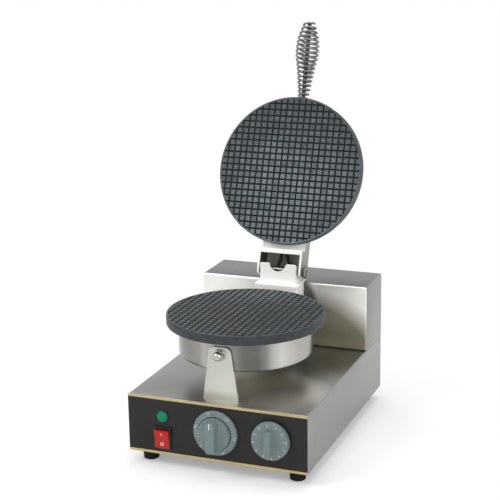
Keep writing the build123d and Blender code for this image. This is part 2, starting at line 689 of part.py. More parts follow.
def hinge_bracket():
    """Channel on the plinth: notched front wall, two rounded ears for the pin, floor."""
    half, t = BRACKET_W / 2, BRACKET_T
    z0, z1 = PLINTH_Z, PLINTH_Z + BRACKET_H
    wall = make_face(Polyline((-half, z0), (half, z0), (half, z1), (-half, z1), close=True))
    wall -= Pos(0, z1 + NOTCH_R - NOTCH_DEPTH) * Circle(NOTCH_R)
    bracket = slab_y(wall, BRACKET_Y, BRACKET_Y + t)
    rear = PIN_Y + EAR_R
    ear = make_face(Polyline((BRACKET_Y, z0), (rear, z0), (rear, PIN_Z), (PIN_Y, PIN_Z + EAR_R),
                             (BRACKET_Y, z1 - BRACKET_T), close=True))
    ear += Pos(PIN_Y, PIN_Z) * Circle(EAR_R)
    ear -= Pos(PIN_Y, PIN_Z) * RegularPolygon(PIN_BODY_R, ROUND)
    for x in (-half, half - t):
        plane = Plane(origin=(x, 0, 0), x_dir=(0, 1, 0), z_dir=(1, 0, 0))
        bracket += extrude(plane * ear, t)
    bracket += block(-half, half, BRACKET_Y, rear, z0, z0 + t)
    return bracket - lead_hole(z0 - THROUGH, z0 + t + THROUGH)


# ---- lid hinge ----------------------------------------------------------------------------------
def across(face, x0, x1):
    """A face drawn in (y, z), drawn out from x0 to x1."""
    return extrude(Plane(origin=(x0, 0, 0), x_dir=(0, 1, 0), z_dir=(1, 0, 0)) * face, x1 - x0)


def hinge_pin():
    """Shoulder pin: twelve-sided in the bracket, with round ends for the arms of the yoke."""
    body = ARM_IN - PIN_END_GAP
    end = ARM_OUT + PIN_END_GAP + HINGE_NUT_H
    middle = across(Pos(PIN_Y, PIN_Z) * RegularPolygon(PIN_BODY_R, ROUND), -body, body)
    return middle + rod_x(PIN_R, -end, end, PIN_Y, PIN_Z)


def hinge_nuts():
    """Hexagonal nuts on both ends of the pin."""
    ring = Pos(PIN_Y, PIN_Z) * (RegularPolygon(NUT_R, HEX) - RegularPolygon(PIN_R, ROUND, major_radius=False))
    x = ARM_OUT + PIN_END_GAP
    return Compound(children=[across(ring, x, x + HINGE_NUT_H), across(ring, -x - HINGE_NUT_H, -x)])


def yoke_side():
    """Side of the yoke, shut: stepped round the plate, round below the pin, square heel."""
    root = IRON_Y + SHELL_R + YOKE_ROOT_GAP
    step = LID_FACE_Z + PLATE_T + YOKE_STEP
    drop = PIN_Z - YOKE_Z
    heel = PIN_Y + (drop - (YOKE_TOP - PIN_Z) * sin(LEAN)) / cos(LEAN)
    turn = radians(YOKE_HEEL_TURN)
    middle, end = [(PIN_Y + drop * sin(a), PIN_Z - drop * cos(a)) for a in (turn / 2, turn)]
    arc = ThreePointArc((PIN_Y, YOKE_Z), middle, end)
    rest = Polyline(end, (heel, PIN_Z), (heel, YOKE_TOP), (root, YOKE_TOP), (root, step), (YOKE_Y, step),
                    (YOKE_Y, YOKE_Z), (PIN_Y, YOKE_Z))
    return make_face(Wire([*arc.edges(), *rest.edges()]))


def lid_yoke():
    """Channel-shaped yoke behind the upper plate, closed at the back, pinned to the bracket."""
    side = yoke_side() - Pos(PIN_Y, PIN_Z) * Circle(PIN_R + PIN_CLEAR)
    yoke = block(-ARM_OUT, ARM_OUT, YOKE_Y, YOKE_Y + YOKE_T, YOKE_Z, YOKE_TOP)
    yoke += block(-ARM_OUT, ARM_OUT, YOKE_Y, YOKE_Y + YOKE_WEB, YOKE_Z, YOKE_Z + YOKE_T)
    yoke += block(-ARM_OUT, ARM_OUT, YOKE_Y, PIN_Y, YOKE_TOP - YOKE_BACK_T, YOKE_TOP)
    yoke += across(side, -ARM_OUT, -ARM_IN) + across(side, ARM_IN, ARM_OUT)
    return swing_open(yoke - lid_lead_way(YOKE_Y - THROUGH, YOKE_Y + YOKE_T + THROUGH))


def lid_lead_way(y0, y1):
    """The way through the block and the yoke for the lid's leads, shut."""
    z = LID_FACE_Z + (PLATE_T + YOKE_REAR) / 2
    return block(-LEAD_HOLE_W / 2, LEAD_HOLE_W / 2, y0, y1, z - LEAD_HOLE_D / 2, z + LEAD_HOLE_D / 2)


def lid_block():
    """Spacer between the upper shell and the yoke, hollowed to the shell's curve."""
    z0 = LID_FACE_Z + PLATE_T + YOKE_STEP
    body = block(-ARM_IN, ARM_IN, IRON_Y + SHELL_R - BLOCK_LAP, YOKE_Y, z0, YOKE_TOP)
    body -= shell_core(z0 - THROUGH, YOKE_TOP + THROUGH)
    return swing_open(body - lid_lead_way(IRON_Y, YOKE_Y + THROUGH))


def upper_shell():
    """The upper pan, bored for the handle and cut for the leads."""
    shell = Pos(0, IRON_Y, LID_FACE_Z) * Rot(0, 180, 0) * iron_shell()
    shell -= lid_lead_way(IRON_Y, IRON_Y + SHELL_R + THROUGH)
    return swing_open(shell - handle_place() * ngon_z(ROD_R + SCREW_CLEAR, ROUND, -ROD_INSIDE, COLLAR_T))


# ---- handle -----------------------------------------------------------------------------------------
def handle_place():
    """Frame of the handle on the shut lid: +Z out along its axis from the shell's wall."""
    run = PLATE_R - SHELL_R
    z = LID_FACE_Z + HANDLE_RISE + run * tan(radians(HANDLE_TILT))
    return Pos(0, IRON_Y - SHELL_R, z) * Rot(90 + HANDLE_TILT, 0, 0)


def coil_radius(share):
    """Outer radius of the coil along its length, from 0 to 1."""
    for (s0, r0), (s1, r1) in zip(COIL_PROFILE, COIL_PROFILE[1:]):
        if share <= s1:
            blend = (1 - cos(pi * (share - s0) / (s1 - s0))) / 2
            return r0 + (r1 - r0) * blend
    return COIL_PROFILE[-1][1]


def handle_coil():
    """Club-shaped coil of wire that stays cool in the hand."""
    start = COLLAR_T + COIL_SEAT
    run = COIL_END - COIL_WIRE / 2 - start
    steps = round(run / COIL_PITCH * COIL_SEGMENTS)
    path = []
    for i in range(steps + 1):
        share = i / steps
        r = coil_radius(share) - COIL_WIRE / 2
        turn = 2 * pi * (i + 0.5) / COIL_SEGMENTS
        path.append((r * cos(turn), r * sin(turn), start + run * share))
    coil = faceted_tube(path, COIL_WIRE / 2, WIRE_SIDES)
    return swing_open(handle_place() * coil)


def handle_rod():
    """Core rod, from inside the shell to the end of the coil."""
    return swing_open(handle_place() * ngon_z(ROD_R, ROUND, -ROD_INSIDE, COIL_END - COIL_WIRE))


def handle_collar():
    """Hexagonal collar where the rod enters the shell; its back follows the shell."""
    collar = ngon_z(COLLAR_R, HEX, -COLLAR_LAP, COLLAR_T)
    collar -= ngon_z(ROD_R, ROUND, -COLLAR_LAP - THROUGH, COLLAR_T + THROUGH)
    return swing_open(handle_place() * collar - shell_core(LID_FACE_Z, LID_FACE_Z + 2 * SHELL_H))


# ---- leads ------------------------------------------------------------------------------------------
def lead_pair(route):
    """Two sleeved leads along a route of (x share, y, z), one each side of the middle."""
    half = LEAD_SPACING / 2
    return Compound(children=[faceted_tube([(side * half * s, y, z) for s, y, z in route], LEAD_R, HEX)
                              for side in (-1, 1)])


def lid_leads():
    """Leads from the upper iron, behind the pin and down into the riser."""
    z = LID_FACE_Z + (PLATE_T + YOKE_REAR - LEAD_HOLE_D) / 2 + LEAD_R
    inside = swung(IRON_Y + SHELL_R - WOOL_NOTCH_D / 2, z)
    mouth = swung(YOKE_Y + YOKE_WEB, z)
    y = PIN_Y + PIN_BODY_R + LEAD_HOLE_GAP + LEAD_HOLE_D / 2
    return lead_pair([(LEAD_PINCH, *inside), (LEAD_PINCH, *mouth), (1, y, PIN_Z),
                      (1, y, HOUSING_TOP - 2 * SHEET)])


def lower_leads():
    """Leads from the lower iron through the duct and the riser, down into the case."""
    z = duct_top() - DUCT_H + DUCT_T + LEAD_R
    rise = window_z(0) + LEAD_R
    down = (HOUSING_Y + BACK_Y) / 2
    return lead_pair([(1, IRON_Y + SHELL_R - WOOL_NOTCH_D / 2, z), (1, PLINTH_Y + GUSSET_TOE / 2, z),
                      (1, HOUSING_Y - GUSSET_TOE, rise), (1, down - LEAD_BEND, rise),
                      (1, down, rise - LEAD_BEND), (1, down, DECK_Z - LEAD_TAIL)])


# ---- controls ---------------------------------------------------------------------------------------------
def thermostat_dial():
    """Graduated ring fixed to the panel round the thermostat knob."""
    z = BASE_Z + DIAL_Z
    body = faceted([(0, 0), (DIAL_R, 0), (DIAL_R, DIAL_T - DIAL_CHAMFER), (DIAL_R - DIAL_CHAMFER, DIAL_T),
                    (0, DIAL_T)], KNOB_SIDES)
    body -= ngon_z(SHAFT_HOLE_R, ROUND, -THROUGH, DIAL_T + THROUGH)
    return Pos(DIAL_X, FRONT_Y, z) * Rot(90, 0, 0) * body


def shaft_end(knob_front, grip_h):
    """How far out of the panel a shaft reaches: half way up the finger bar of its knob."""
    return knob_front + grip_h / 2


def knob(radius, z0, z1, grip_w, grip_reach, grip_h):
    """Round knob with a straight finger bar across its front, bored for its shaft."""
    half = grip_w / 2
    bar = block(-half, half, -grip_reach, grip_reach, z1 - THROUGH, z1 + grip_h)
    bar = chamfer(bar.faces().sort_by(Axis.Z)[-1].edges(), GRIP_CHAMFER)
    body = faceted([(0, z0), (radius, z0), (radius - KNOB_DRAFT, z1), (0, z1)], KNOB_SIDES)
    return body + bar - ngon_z(SHAFT_R, ROUND, z0 - THROUGH, shaft_end(z1, grip_h))


def thermostat_knob():
    """Round knob with a tall finger bar, in front of the dial."""
    reach = sqrt((KNOB_R - KNOB_DRAFT) ** 2 - (KNOB_GRIP_W / 2) ** 2) - KNOB_GRIP_INSET
    body = knob(KNOB_R, DIAL_T + KNOB_GAP, KNOB_FRONT, KNOB_GRIP_W, reach, KNOB_GRIP_H)
    return Pos(DIAL_X, FRONT_Y, BASE_Z + DIAL_Z) * Rot(90, 0, 0) * body


def timer_knob():
    """Flat graduated knob with a finger bar."""
    body = knob(TIMER_R, TIMER_STANDOFF, TIMER_FRONT, TIMER_GRIP_W, TIMER_R - TIMER_GRIP_INSET, TIMER_GRIP_H)
    return Pos(TIMER_X, FRONT_Y, BASE_Z + TIMER_Z) * Rot(90, 0, 0) * body


def control_shaft(x, z, end):
    """Shaft from a control body through the panel into its knob."""
    y0, y1 = FRONT_Y - end, WALL_Y + SHEET + CONTROL_D / 2
    return ngon_y(SHAFT_R, ROUND, y0, y1, x, BASE_Z + z)


def control_body(x, z):
    """Thermostat or timer movement behind the panel, bored for its shaft."""
    y0 = WALL_Y + SHEET
    body = block(x - CONTROL_W / 2, x + CONTROL_W / 2, y0, y0 + CONTROL_D,
                 BASE_Z + z - CONTROL_H / 2, BASE_Z + z + CONTROL_H / 2)
    body = chamfer(body.edges().filter_by(Axis.Y), CONTROL_CHAMFER)
    return body - rod_y(SHAFT_R + SHAFT_CLEAR, y0 - THROUGH, y0 + CONTROL_D / 2 + SHAFT_CLEAR, x, BASE_Z + z)


def sensing_bulb():
    """Thermostat bulb lying on the lower clamp plate, inside the element."""
    flat_down = Rot(0, 0, 180 / OCTAGON)
    section = flat_down * RegularPolygon(BULB_R, OCTAGON)
    bulb = Rot(0, 90, 0) * Pos(0, 0, -BULB_L / 2) * extrude(section, BULB_L)
    return lower(Pos(0, BULB_Y, CLAMP_TOP + BULB_R * cos(pi / OCTAGON)) * bulb)


def switch_frame():
    """Rim and body of the rocker switch, clipped through the panel."""
    x, z = SWITCH_X, BASE_Z + SWITCH_Z
    w, h = SWITCH_W / 2, SWITCH_H / 2
    front, back = FRONT_Y - SWITCH_PROUD, FRONT_Y + SWITCH_D
    rim, wall = SWITCH_RIM, SWITCH_WALL
    body = block(x - w - rim, x + w + rim, front, FRONT_Y, z - h - rim, z + h + rim)
    body += block(x - w - wall, x + w + wall, FRONT_Y, back, z - h - wall, z + h + wall)
    body -= block(x - w, x + w, front - THROUGH, back - SWITCH_FLOOR, z - h, z + h)
    return body - trunnions(TRUNNION_R + TRUNNION_CLEAR, SWITCH_W / 2 + SWITCH_WALL)


def trunnions(radius, reach):
    """The bar on which the rocker tips, out to this reach from the middle of the switch."""
    return rod_x(radius, SWITCH_X - reach, SWITCH_X + reach, FRONT_Y + ROCKER_PIVOT, BASE_Z + SWITCH_Z)


def switch_rocker():
    """Red rocker: two faces that meet in a shallow V, rocked to its lower side."""
    z = BASE_Z + SWITCH_Z
    tilt = radians(ROCKER_TILT)
    crest = FRONT_Y - SWITCH_PROUD - ROCKER_CREST
    reach = FRONT_Y + ROCKER_PIVOT - crest
    w = SWITCH_W / 2 - ROCKER_CLEAR
    h = (SWITCH_H / 2 - ROCKER_CLEAR - reach * sin(tilt)) / cos(tilt)
    deep = FRONT_Y + 2 * ROCKER_PIVOT
    outline = [(crest, z - h), (crest + h * tan(tilt), z), (crest, z + h), (FRONT_Y, z + h),
               (deep, z + h / 2), (deep, z - h / 2), (FRONT_Y, z - h)]
    rocker = slab_x(outline, SWITCH_X - w, SWITCH_X + w) + trunnions(TRUNNION_R, SWITCH_W / 2 + SWITCH_WALL)
    return rocker.rotate(rocker_axis(), ROCKER_TILT)


def rocker_axis():
    return Axis((SWITCH_X, FRONT_Y + ROCKER_PIVOT, BASE_Z + SWITCH_Z), (1, 0, 0))


def lamp_bezel():
    """Black rim and barrel of the pilot lamp."""
    bezel = ngon_z(LAMP_R + LAMP_RIM, LAMP_SIDES, 0, LAMP_RIM_T) + ngon_z(LAMP_R, LAMP_SIDES, -LAMP_BODY, 0)
    bezel -= ngon_z(LAMP_R - LAMP_WALL, LAMP_SIDES, -LAMP_SEAT, LAMP_RIM_T + THROUGH)
    return Pos(LAMP_X, FRONT_Y, BASE_Z + LAMP_Z) * Rot(90, 0, 0) * bezel


def lamp_lens():
    """Green lens seated in the bezel, its head over the rim."""
    r = LAMP_R - LAMP_WALL - FIT
    lens = faceted([(0, -LAMP_SEAT), (r, -LAMP_SEAT), (r, LAMP_RIM_T), (LAMP_HEAD_R, LAMP_RIM_T),
                    (LAMP_HEAD_R, LAMP_PROUD - LAMP_BEVEL), (LAMP_HEAD_R - LAMP_BEVEL, LAMP_PROUD),
                    (0, LAMP_PROUD)], LAMP_SIDES)
    return Pos(LAMP_X, FRONT_Y, BASE_Z + LAMP_Z) * Rot(90, 0, 0) * lens


def terminal_block():
    """Mains terminals on the floor of the case, near the gland."""
    x0, x1 = GLAND_X - TERMINAL_L / 2, GLAND_X + TERMINAL_L / 2
    y = BACK_Y - TERMINAL_INSET
    z0 = BASE_Z + 2 * SHEET
    z1 = z0 + TERMINAL_H
    slot = block(x0 - THROUGH, x1 + THROUGH, y - TERMINAL_SLOT_W / 2, y + TERMINAL_SLOT_W / 2,
                 z1 - TERMINAL_SLOT_D, z1 + THROUGH)
    return block(x0, x1, y - TERMINAL_D / 2, y + TERMINAL_D / 2, z0, z1) - slot


def cord_gland():
    """Gland for the mains cord in the back wall of the case."""
    z = BASE_Z + GLAND_Z
    y0, y1 = BACK_Y - SHEET - GLAND_STEM_L, BACK_Y + GLAND_OUT
    gland = ngon_y(GLAND_R, HEX, BACK_Y, BACK_Y + GLAND_HEX_T, GLAND_X, z)
    gland += ngon_y(GLAND_CAP_R, ROUND, BACK_Y, y1, GLAND_X, z)
    gland += ngon_y(GLAND_STEM_R, ROUND, y0, BACK_Y, GLAND_X, z)
    return gland - ngon_y(GLAND_BORE_R, ROUND, y0 - THROUGH, y1 + THROUGH, GLAND_X, z)


def earth_stud():
    """Earth terminal screw beside the gland."""
    return screws([(EARTH_X, BACK_Y, BASE_Z + GLAND_Z)], (0, 1, 0), EARTH_L)


# ---- the nodes ---------------------------------------------------------------------------------------------
def build_nodes():
    plate = iron_plate()
    element = heating_element()
    clamp = clamp_plate()
    wool = wool_pad()
    pillars = standoffs()
    return {
        "base_shell": base_shell(),
        "bottom_cover": bottom_cover(),
        "front_fascia": front_fascia(),
        "rear_housing": rear_housing(),
        "rear_cover": rear_cover(),
        "cover_screws": cover_screws(),
        "feet": feet(),
        "foot_screws": foot_screws(),
        "lower_plate": lower(plate),
        "lower_shell": lower_shell(),
        "lower_heating_element": lower(element),
        "lower_clamp_plate": lower(clamp),
        "lower_wool_pad": lower(wool),
        "lower_standoffs": lower(pillars),
        "front_support": front_support(),
        "support_stud": support_stud(),
        "support_washer": support_washer(),
        "dome_nut": dome_nut(),
        "lead_duct": lead_duct(),
        "lower_leads": lower_leads(),
        "hinge_plinth": hinge_plinth(),
        "hinge_bracket": hinge_bracket(),
        "hinge_pin": hinge_pin(),
        "hinge_nuts": hinge_nuts(),
        "lid_leads": lid_leads(),
        "lid_yoke": lid_yoke(),
        "lid_block": lid_block(),
        "upper_plate": upper(plate),
        "upper_shell": upper_shell(),
        "upper_heating_element": upper(element),
        "upper_clamp_plate": upper(clamp),
        "upper_wool_pad": upper(wool),
        "upper_standoffs": upper(pillars),
        "handle_collar": handle_collar(),
        "handle_rod": handle_rod(),
        "handle_coil": handle_coil(),
        "thermostat_dial": thermostat_dial(),
        "thermostat_knob": thermostat_knob(),
        "thermostat_shaft": control_shaft(DIAL_X, DIAL_Z, shaft_end(KNOB_FRONT, KNOB_GRIP_H)),
        "thermostat_body": control_body(DIAL_X, DIAL_Z),
        "sensing_bulb": sensing_bulb(),
        "timer_knob": timer_knob(),
        "timer_shaft": control_shaft(TIMER_X, TIMER_Z, shaft_end(TIMER_FRONT, TIMER_GRIP_H)),
        "timer_body": control_body(TIMER_X, TIMER_Z),
        "switch_frame": switch_frame(),
        "switch_rocker": switch_rocker(),
        "lamp_bezel": lamp_bezel(),
        "lamp_lens": lamp_lens(),
        "terminal_block": terminal_block(),
        "cord_gland": cord_gland(),
        "earth_stud": earth_stud(),
    }


os.makedirs("parts", exist_ok=True)
for name, shape in build_nodes().items():
    export_step(shape, f"parts/{name}.step")
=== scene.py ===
"""Finishes for a single-head waffle-cone iron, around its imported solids.

Laid out as an add-on and run as a script.  Shapes are drawn in millimetres in the row frame,
the irons and the handle in frames of their own, and every mesh is brought to metres at the end.
"""
import json
from math import atan2, cos, pi, radians, sin, sqrt, tan

import bmesh
import bpy
from bpy.props import FloatProperty, FloatVectorProperty, IntProperty, PointerProperty
from bpy.types import Operator, Panel, PropertyGroup
from mathutils import Matrix, Vector


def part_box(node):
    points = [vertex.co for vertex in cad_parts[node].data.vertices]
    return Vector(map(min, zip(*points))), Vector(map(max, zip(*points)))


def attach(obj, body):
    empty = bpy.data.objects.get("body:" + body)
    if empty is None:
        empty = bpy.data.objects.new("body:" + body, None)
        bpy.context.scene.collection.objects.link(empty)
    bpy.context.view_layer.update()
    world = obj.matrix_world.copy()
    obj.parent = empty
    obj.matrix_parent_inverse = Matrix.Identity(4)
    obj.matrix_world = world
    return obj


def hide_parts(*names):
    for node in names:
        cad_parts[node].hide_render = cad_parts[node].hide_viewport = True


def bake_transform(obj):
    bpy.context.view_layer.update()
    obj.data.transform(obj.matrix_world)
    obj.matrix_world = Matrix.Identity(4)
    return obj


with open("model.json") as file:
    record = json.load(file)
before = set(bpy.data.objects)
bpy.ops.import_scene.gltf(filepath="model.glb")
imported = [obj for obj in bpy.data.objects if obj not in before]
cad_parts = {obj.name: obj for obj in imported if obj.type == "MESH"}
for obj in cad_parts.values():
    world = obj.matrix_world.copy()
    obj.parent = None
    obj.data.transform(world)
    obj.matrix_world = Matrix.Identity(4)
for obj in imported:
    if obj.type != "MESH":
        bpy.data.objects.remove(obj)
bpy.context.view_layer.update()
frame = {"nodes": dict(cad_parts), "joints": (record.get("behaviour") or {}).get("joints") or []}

bl_info = {
    "name": "Waffle-cone iron",
    "version": (1, 0, 0),
    "blender": (4, 5, 0),
    "location": "View3D > Sidebar > Cone iron",
    "description": "Dresses the solids of a single-head waffle-cone iron",
    "category": "Object",
}

MM = 0.001


def span(node):
    """Lowest corner, highest corner and middle of a solid, in millimetres."""
    low, high = (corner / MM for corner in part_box(node))
    return low, high, (low + high) / 2


def half_width(node):
    """Half of a solid's size along X, such as a disc's radius."""
    low, high, middle = span(node)
    return (high.x - low.x) / 2


# ---- places read from the frame ----------------------------------
HINGE = next(joint for joint in frame["joints"] if joint["name"] == "lid_hinge")
PIN = Vector(HINGE["pos_m"]) / MM
LID_OPEN = radians(HINGE["range_deg"][1])
FACE_Z = span("lower_plate")[1].z
IRON_Y = span("lower_plate")[2].y
PLATE_R = half_width("lower_plate")
SHELL_R = half_width("lower_shell")
PANEL_LOW, PANEL_HIGH = span("front_fascia")[:2]
FRONT_Y = PANEL_LOW.y

# ---- sizes that the solids don't give, in millimetres ------------
CONE_GAP = 3.0          # between the plates of the closed iron
PLATE_T = 12.0
SPIGOT_H = 4.0          # what the plate reaches down into its drum
BORDER_W = 2.4
PAD_PITCH = 8.8
SHELL_H = 40.0
SHEET = 1.2
HANDLE_RISE = 26.0      # above the face of the closed lid's plate
HANDLE_TILT = radians(4.15)
GRIP_START = 6.25       # along the handle, from the drum's wall
GRIP_END = PLATE_R - SHELL_R + 108.6
COLLAR_T = 5.0
NUT_T = 4.0
ARM_T = 3.0             # an arm of the yoke
PLAY = 0.1              # between pieces that touch
SCREW_R = 3.6
HEAD_H = 2.0            # a screw's head

# ---- how finishes vary -------------------------------------------
GRAIN, BAND, SMUDGE = 0.0005, 0.035, 0.06       # sizes of brushed patterns, in metres
BORDER_SHADE = 0.14                             # groove depth that the plate's border is painted as
# painted reflections: light and dark bands painted round a drum's wall: (degrees round from the front, level)
DRUM_REFLECTION_BANDS = ((-180, 0.8), (-110, 0.5), (-62, 0.39), (-46, 0.43), (-31, 0.54), (-21, 0.66), (-16, 0.9),
              (4, 0.62), (12, 0.5), (19, 0.33), (31, 0.3), (38, 0.5), (43, 0.94), (52, 1.3), (62, 1.08),
              (72, 0.9), (95, 0.85), (130, 0.7), (180, 0.8))


def linear(red, green, blue):
    """A colour given as 0-255 display values."""
    return tuple((value / 255 / 12.92) if value <= 10 else ((value / 255 + 0.055) / 1.055) ** 2.4
                 for value in (red, green, blue))


def moved(x=0.0, y=0.0, z=0.0):
    return Matrix.Translation((x, y, z))


def turned_by(angle, axis):
    return Matrix.Rotation(angle, 4, axis)


SWING = moved(*PIN) @ turned_by(-LID_OPEN, "X") @ moved(*-PIN)
LOWER_IRON = moved(0, IRON_Y, FACE_Z)
UPPER_IRON = SWING @ moved(0, IRON_Y, FACE_Z + CONE_GAP) @ turned_by(pi, "Y")
HANDLE = (SWING @ moved(0, IRON_Y - SHELL_R,
                        FACE_Z + CONE_GAP + HANDLE_RISE + (PLATE_R - SHELL_R) * tan(HANDLE_TILT))
          @ turned_by(pi / 2 + HANDLE_TILT, "X"))
# each iron's frame, body and the turn of its patterns
IRONS = {"lower": (LOWER_IRON, "base", (0, 0, 0)), "upper": (UPPER_IRON, "lid", (-LID_OPEN, 0, 0))}


def facing(x, y, z, toward=-1):
    """A frame whose own Z points along -Y, or +Y where toward is 1."""
    return moved(x, y, z) @ turned_by(-toward * pi / 2, "X")


def on_panel(node):
    """Frame of a control: its own Z points out of the panel."""
    middle = span(node)[2]
    return facing(middle.x, FRONT_Y, middle.z)


# ---- node graphs -------------------------------------------------
class Val:
    """A number that varies; arithmetic on it adds Math nodes."""

    def __init__(self, graph, socket):
        self.graph, self.socket = graph, socket

    def __add__(self, other):
        return self.graph.math("ADD", self, other)

    def __sub__(self, other):
        return self.graph.math("SUBTRACT", self, other)

    def __rsub__(self, other):
        return self.graph.math("SUBTRACT", other, self)

    def __mul__(self, other):
        return self.graph.math("MULTIPLY", self, other)

    def __truediv__(self, other):
        return self.graph.math("DIVIDE", self, other)

    __radd__ = __add__
    __rmul__ = __mul__


class Graph:
    """A node tree; every node comes from node()."""

    def __init__(self, tree):
        self.tree = tree

    def node(self, kind, settings=None, sockets=None):
        """A node of this type: its settings first, then the values or links of its sockets."""
        made = self.tree.nodes.new(kind)
        for key, value in (settings or {}).items():
            if key == "stops":
                self.set_stops(made.color_ramp, value)
            elif key == "curve":
                self.set_curve(made.mapping, value)
            else:
                setattr(made, key, value)
        for key, value in (sockets or {}).items():
            if isinstance(value, Val):
                self.tree.links.new(value.socket, made.inputs[key])
            else:
                made.inputs[key].default_value = value
        return made

    def out(self, kind, settings=None, sockets=None, output=0):
        """The output of a new node."""
        return Val(self, self.node(kind, settings, sockets).outputs[output])

    def math(self, operation, *terms):
        return self.out("ShaderNodeMath", {"operation": operation}, dict(enumerate(terms)))

    def vector(self, operation, *terms, output=0, **named):
        return self.out("ShaderNodeVectorMath", {"operation": operation}, {**dict(enumerate(terms)), **named},
                        output)

    def rays(self):
        """1 for camera rays, and 1 for the rays that show the background: camera, glossy, transmission."""
        path = self.node("ShaderNodeLightPath")
        camera, glossy, through = (Val(self, path.outputs["Is " + kind + " Ray"])
                                   for kind in ("Camera", "Glossy", "Transmission"))
        return camera, self.math("MAXIMUM", camera, self.math("MAXIMUM", glossy, through))

    def set_stops(self, ramp, stops):
        while len(ramp.elements) < len(stops):
            ramp.elements.new(1.0)
        for element, (place, level) in zip(ramp.elements, stops):
            element.position = place
            element.color = (level, level, level, 1.0)

    def set_curve(self, mapping, points):
        curve = mapping.curves[0]
        for place, level in points[1:-1]:
            curve.points.new(place, level)
        curve.points[0].location = points[0]
        curve.points[-1].location = points[-1]
        mapping.update()


class Finish(Graph):
    """A material on one Principled shader, patterned in Object coordinates."""

    def __init__(self, name, **constants):
        self.material = bpy.data.materials.new(name)
        self.material.use_nodes = True
        super().__init__(self.material.node_tree)
        self.tree.nodes.clear()
        sockets = {key.replace("_", " "): value for key, value in constants.items()}
        self.shader = self.node("ShaderNodeBsdfPrincipled", None, sockets)
        self.surface = Val(self, self.shader.outputs[0])
        self.end = self.node("ShaderNodeOutputMaterial", None, {"Surface": self.surface})

    def feed(self, socket, value):
        """Links what changes over the surface to the shader."""
        self.tree.links.new(value.socket, self.shader.inputs[socket])

    def done(self, colour, roughness, height, distance, strength):
        """The material, with this colour, roughness and bump; distance is the bump's height in metres."""
        self.feed("Base Color", colour)
        self.feed("Roughness", roughness)
        self.feed("Normal", self.out("ShaderNodeBump", None,
                                     {"Strength": strength, "Distance": distance, "Height": height}))
        return self.material

    def place(self, stretch=1.0, turn=(0, 0, 0), middle=(0, 0, 0)):
        """Object coordinates, turned and centred on a piece, over a pattern's length along each axis."""
        if isinstance(stretch, float):
            stretch = (stretch,) * 3
        where = self.out("ShaderNodeTexCoord", output=3)
        return self.out("ShaderNodeMapping", {"vector_type": "TEXTURE"},
                        {"Vector": where, "Location": middle, "Rotation": turn, "Scale": stretch})

    def noise(self, *place, detail=2.0, roughness=0.5):
        """Soft random variation, 0 to 1, over place()'s arguments."""
        return self.out("ShaderNodeTexNoise", None, {"Vector": self.place(*place), "Scale": 1.0,
                                                     "Detail": detail, "Roughness": roughness})

    def varied(self, start, *parts):
        """A value moved up and down by (noise, share) parts."""
        for value, share in parts:
            start = start + (value - 0.5) * share
        return start

    def along(self, axis, place=None):
        """One coordinate of a place, in metres."""
        place = place or self.out("ShaderNodeTexCoord", output=3)
        return self.out("ShaderNodeSeparateXYZ", None, {"Vector": place}, "XYZ".index(axis))

    def spot(self, middle, size, core):
        """1 in the core of an ellipsoid, in millimetres, fading to 0 at its surface."""
        place = self.place(Vector(size) * MM, (0, 0, 0), Vector(middle) * MM)
        return self.ramp(self.vector("LENGTH", place, output=1), (core, 1.0), (1.0, 0.0))

    def ramp(self, value, *stops):
        return self.out("ShaderNodeValToRGB", {"stops": stops}, {0: value})

    def scaled(self, colour, value):
        """A colour made lighter or darker by a value about 1."""
        return self.vector("SCALE", colour, Scale=value)

    def blended(self, first, second, factor):
        """A colour between two, each fixed or varying."""
        ends = {6: first if isinstance(first, Val) else (*first, 1.0),
                7: second if isinstance(second, Val) else (*second, 1.0)}
        return self.out("ShaderNodeMix", {"data_type": "RGBA"}, {0: factor, **ends}, 2)


def brushed(name, colour, stretch=(1, 1, 1), bands=0.2, smudges=0.2, roughness=0.3, metallic=1.0, spots=()):
    """Brushed sheet: long fine grain, broad bands along it, faint smudges, and soft spots of painted light
    and shade, each of them (middle, size, tint, core)."""
    finish = Finish(name, Metallic=metallic)
    grain = finish.noise(Vector(stretch) * GRAIN)
    band = finish.noise(Vector(stretch) * BAND, detail=1.0)
    smudge = finish.noise(SMUDGE, roughness=0.4)
    # painted light and shade: each spot lightens or darkens the colour by its tint
    for middle, size, tint, core in spots:
        colour = finish.vector("MULTIPLY", colour,
                               finish.blended((1, 1, 1), tint, finish.spot(middle, size, core)))
    tone = finish.varied(1.0, (grain, 0.12), (band, bands * 2), (smudge, smudges * 2))
    rough = finish.varied(roughness, (grain, 0.1), (smudge, 0.16))
    return finish.done(finish.scaled(colour, tone), rough, grain, 0.00001, 0.12)


def spun(name, colour, turn, middle):
    """Drawn pan: fine rings of grain, and painted reflections as light and dark bands that stand round its
    wall.
    """
    finish = Finish(name, Metallic=1.0)
    place = finish.place(1.0, turn, middle)
    # painted reflections: the colour goes light and dark with the angle round the drum
    round_by = finish.math("ARCTAN2", finish.along("X", place), finish.along("Y", place) * -1.0)
    stops = [(0.5 + degrees_round / 360, level / 2) for degrees_round, level in DRUM_REFLECTION_BANDS]
    bands = finish.ramp(round_by / (2 * pi) + 0.5, *stops)
    grain = finish.noise((0.02, 0.02, GRAIN), turn, middle)
    cloud = finish.noise(0.03)
    tone = finish.varied(bands * 2.0, (grain, 0.14), (cloud, 0.16))
    rough = finish.varied(0.24, (grain, 0.1))
    return finish.done(finish.scaled(colour, tone), rough, grain, 0.00001, 0.3)


def mottled(name, colour, size, spread, roughness, relief=0.00004, specular=0.5):
    """Moulded or cast surface: even colour with a fine mottle and a faint grain."""
    finish = Finish(name, Specular_IOR_Level=specular)
    cloud = finish.noise(size * 6, detail=3.0)
    speck = finish.noise(size, roughness=0.7)
    tone = finish.varied(1.0, (cloud, spread), (speck, spread * 1.5))
    rough = finish.varied(roughness, (speck, 0.25))
    return finish.done(finish.scaled(colour, tone), rough, speck, relief, 0.6)


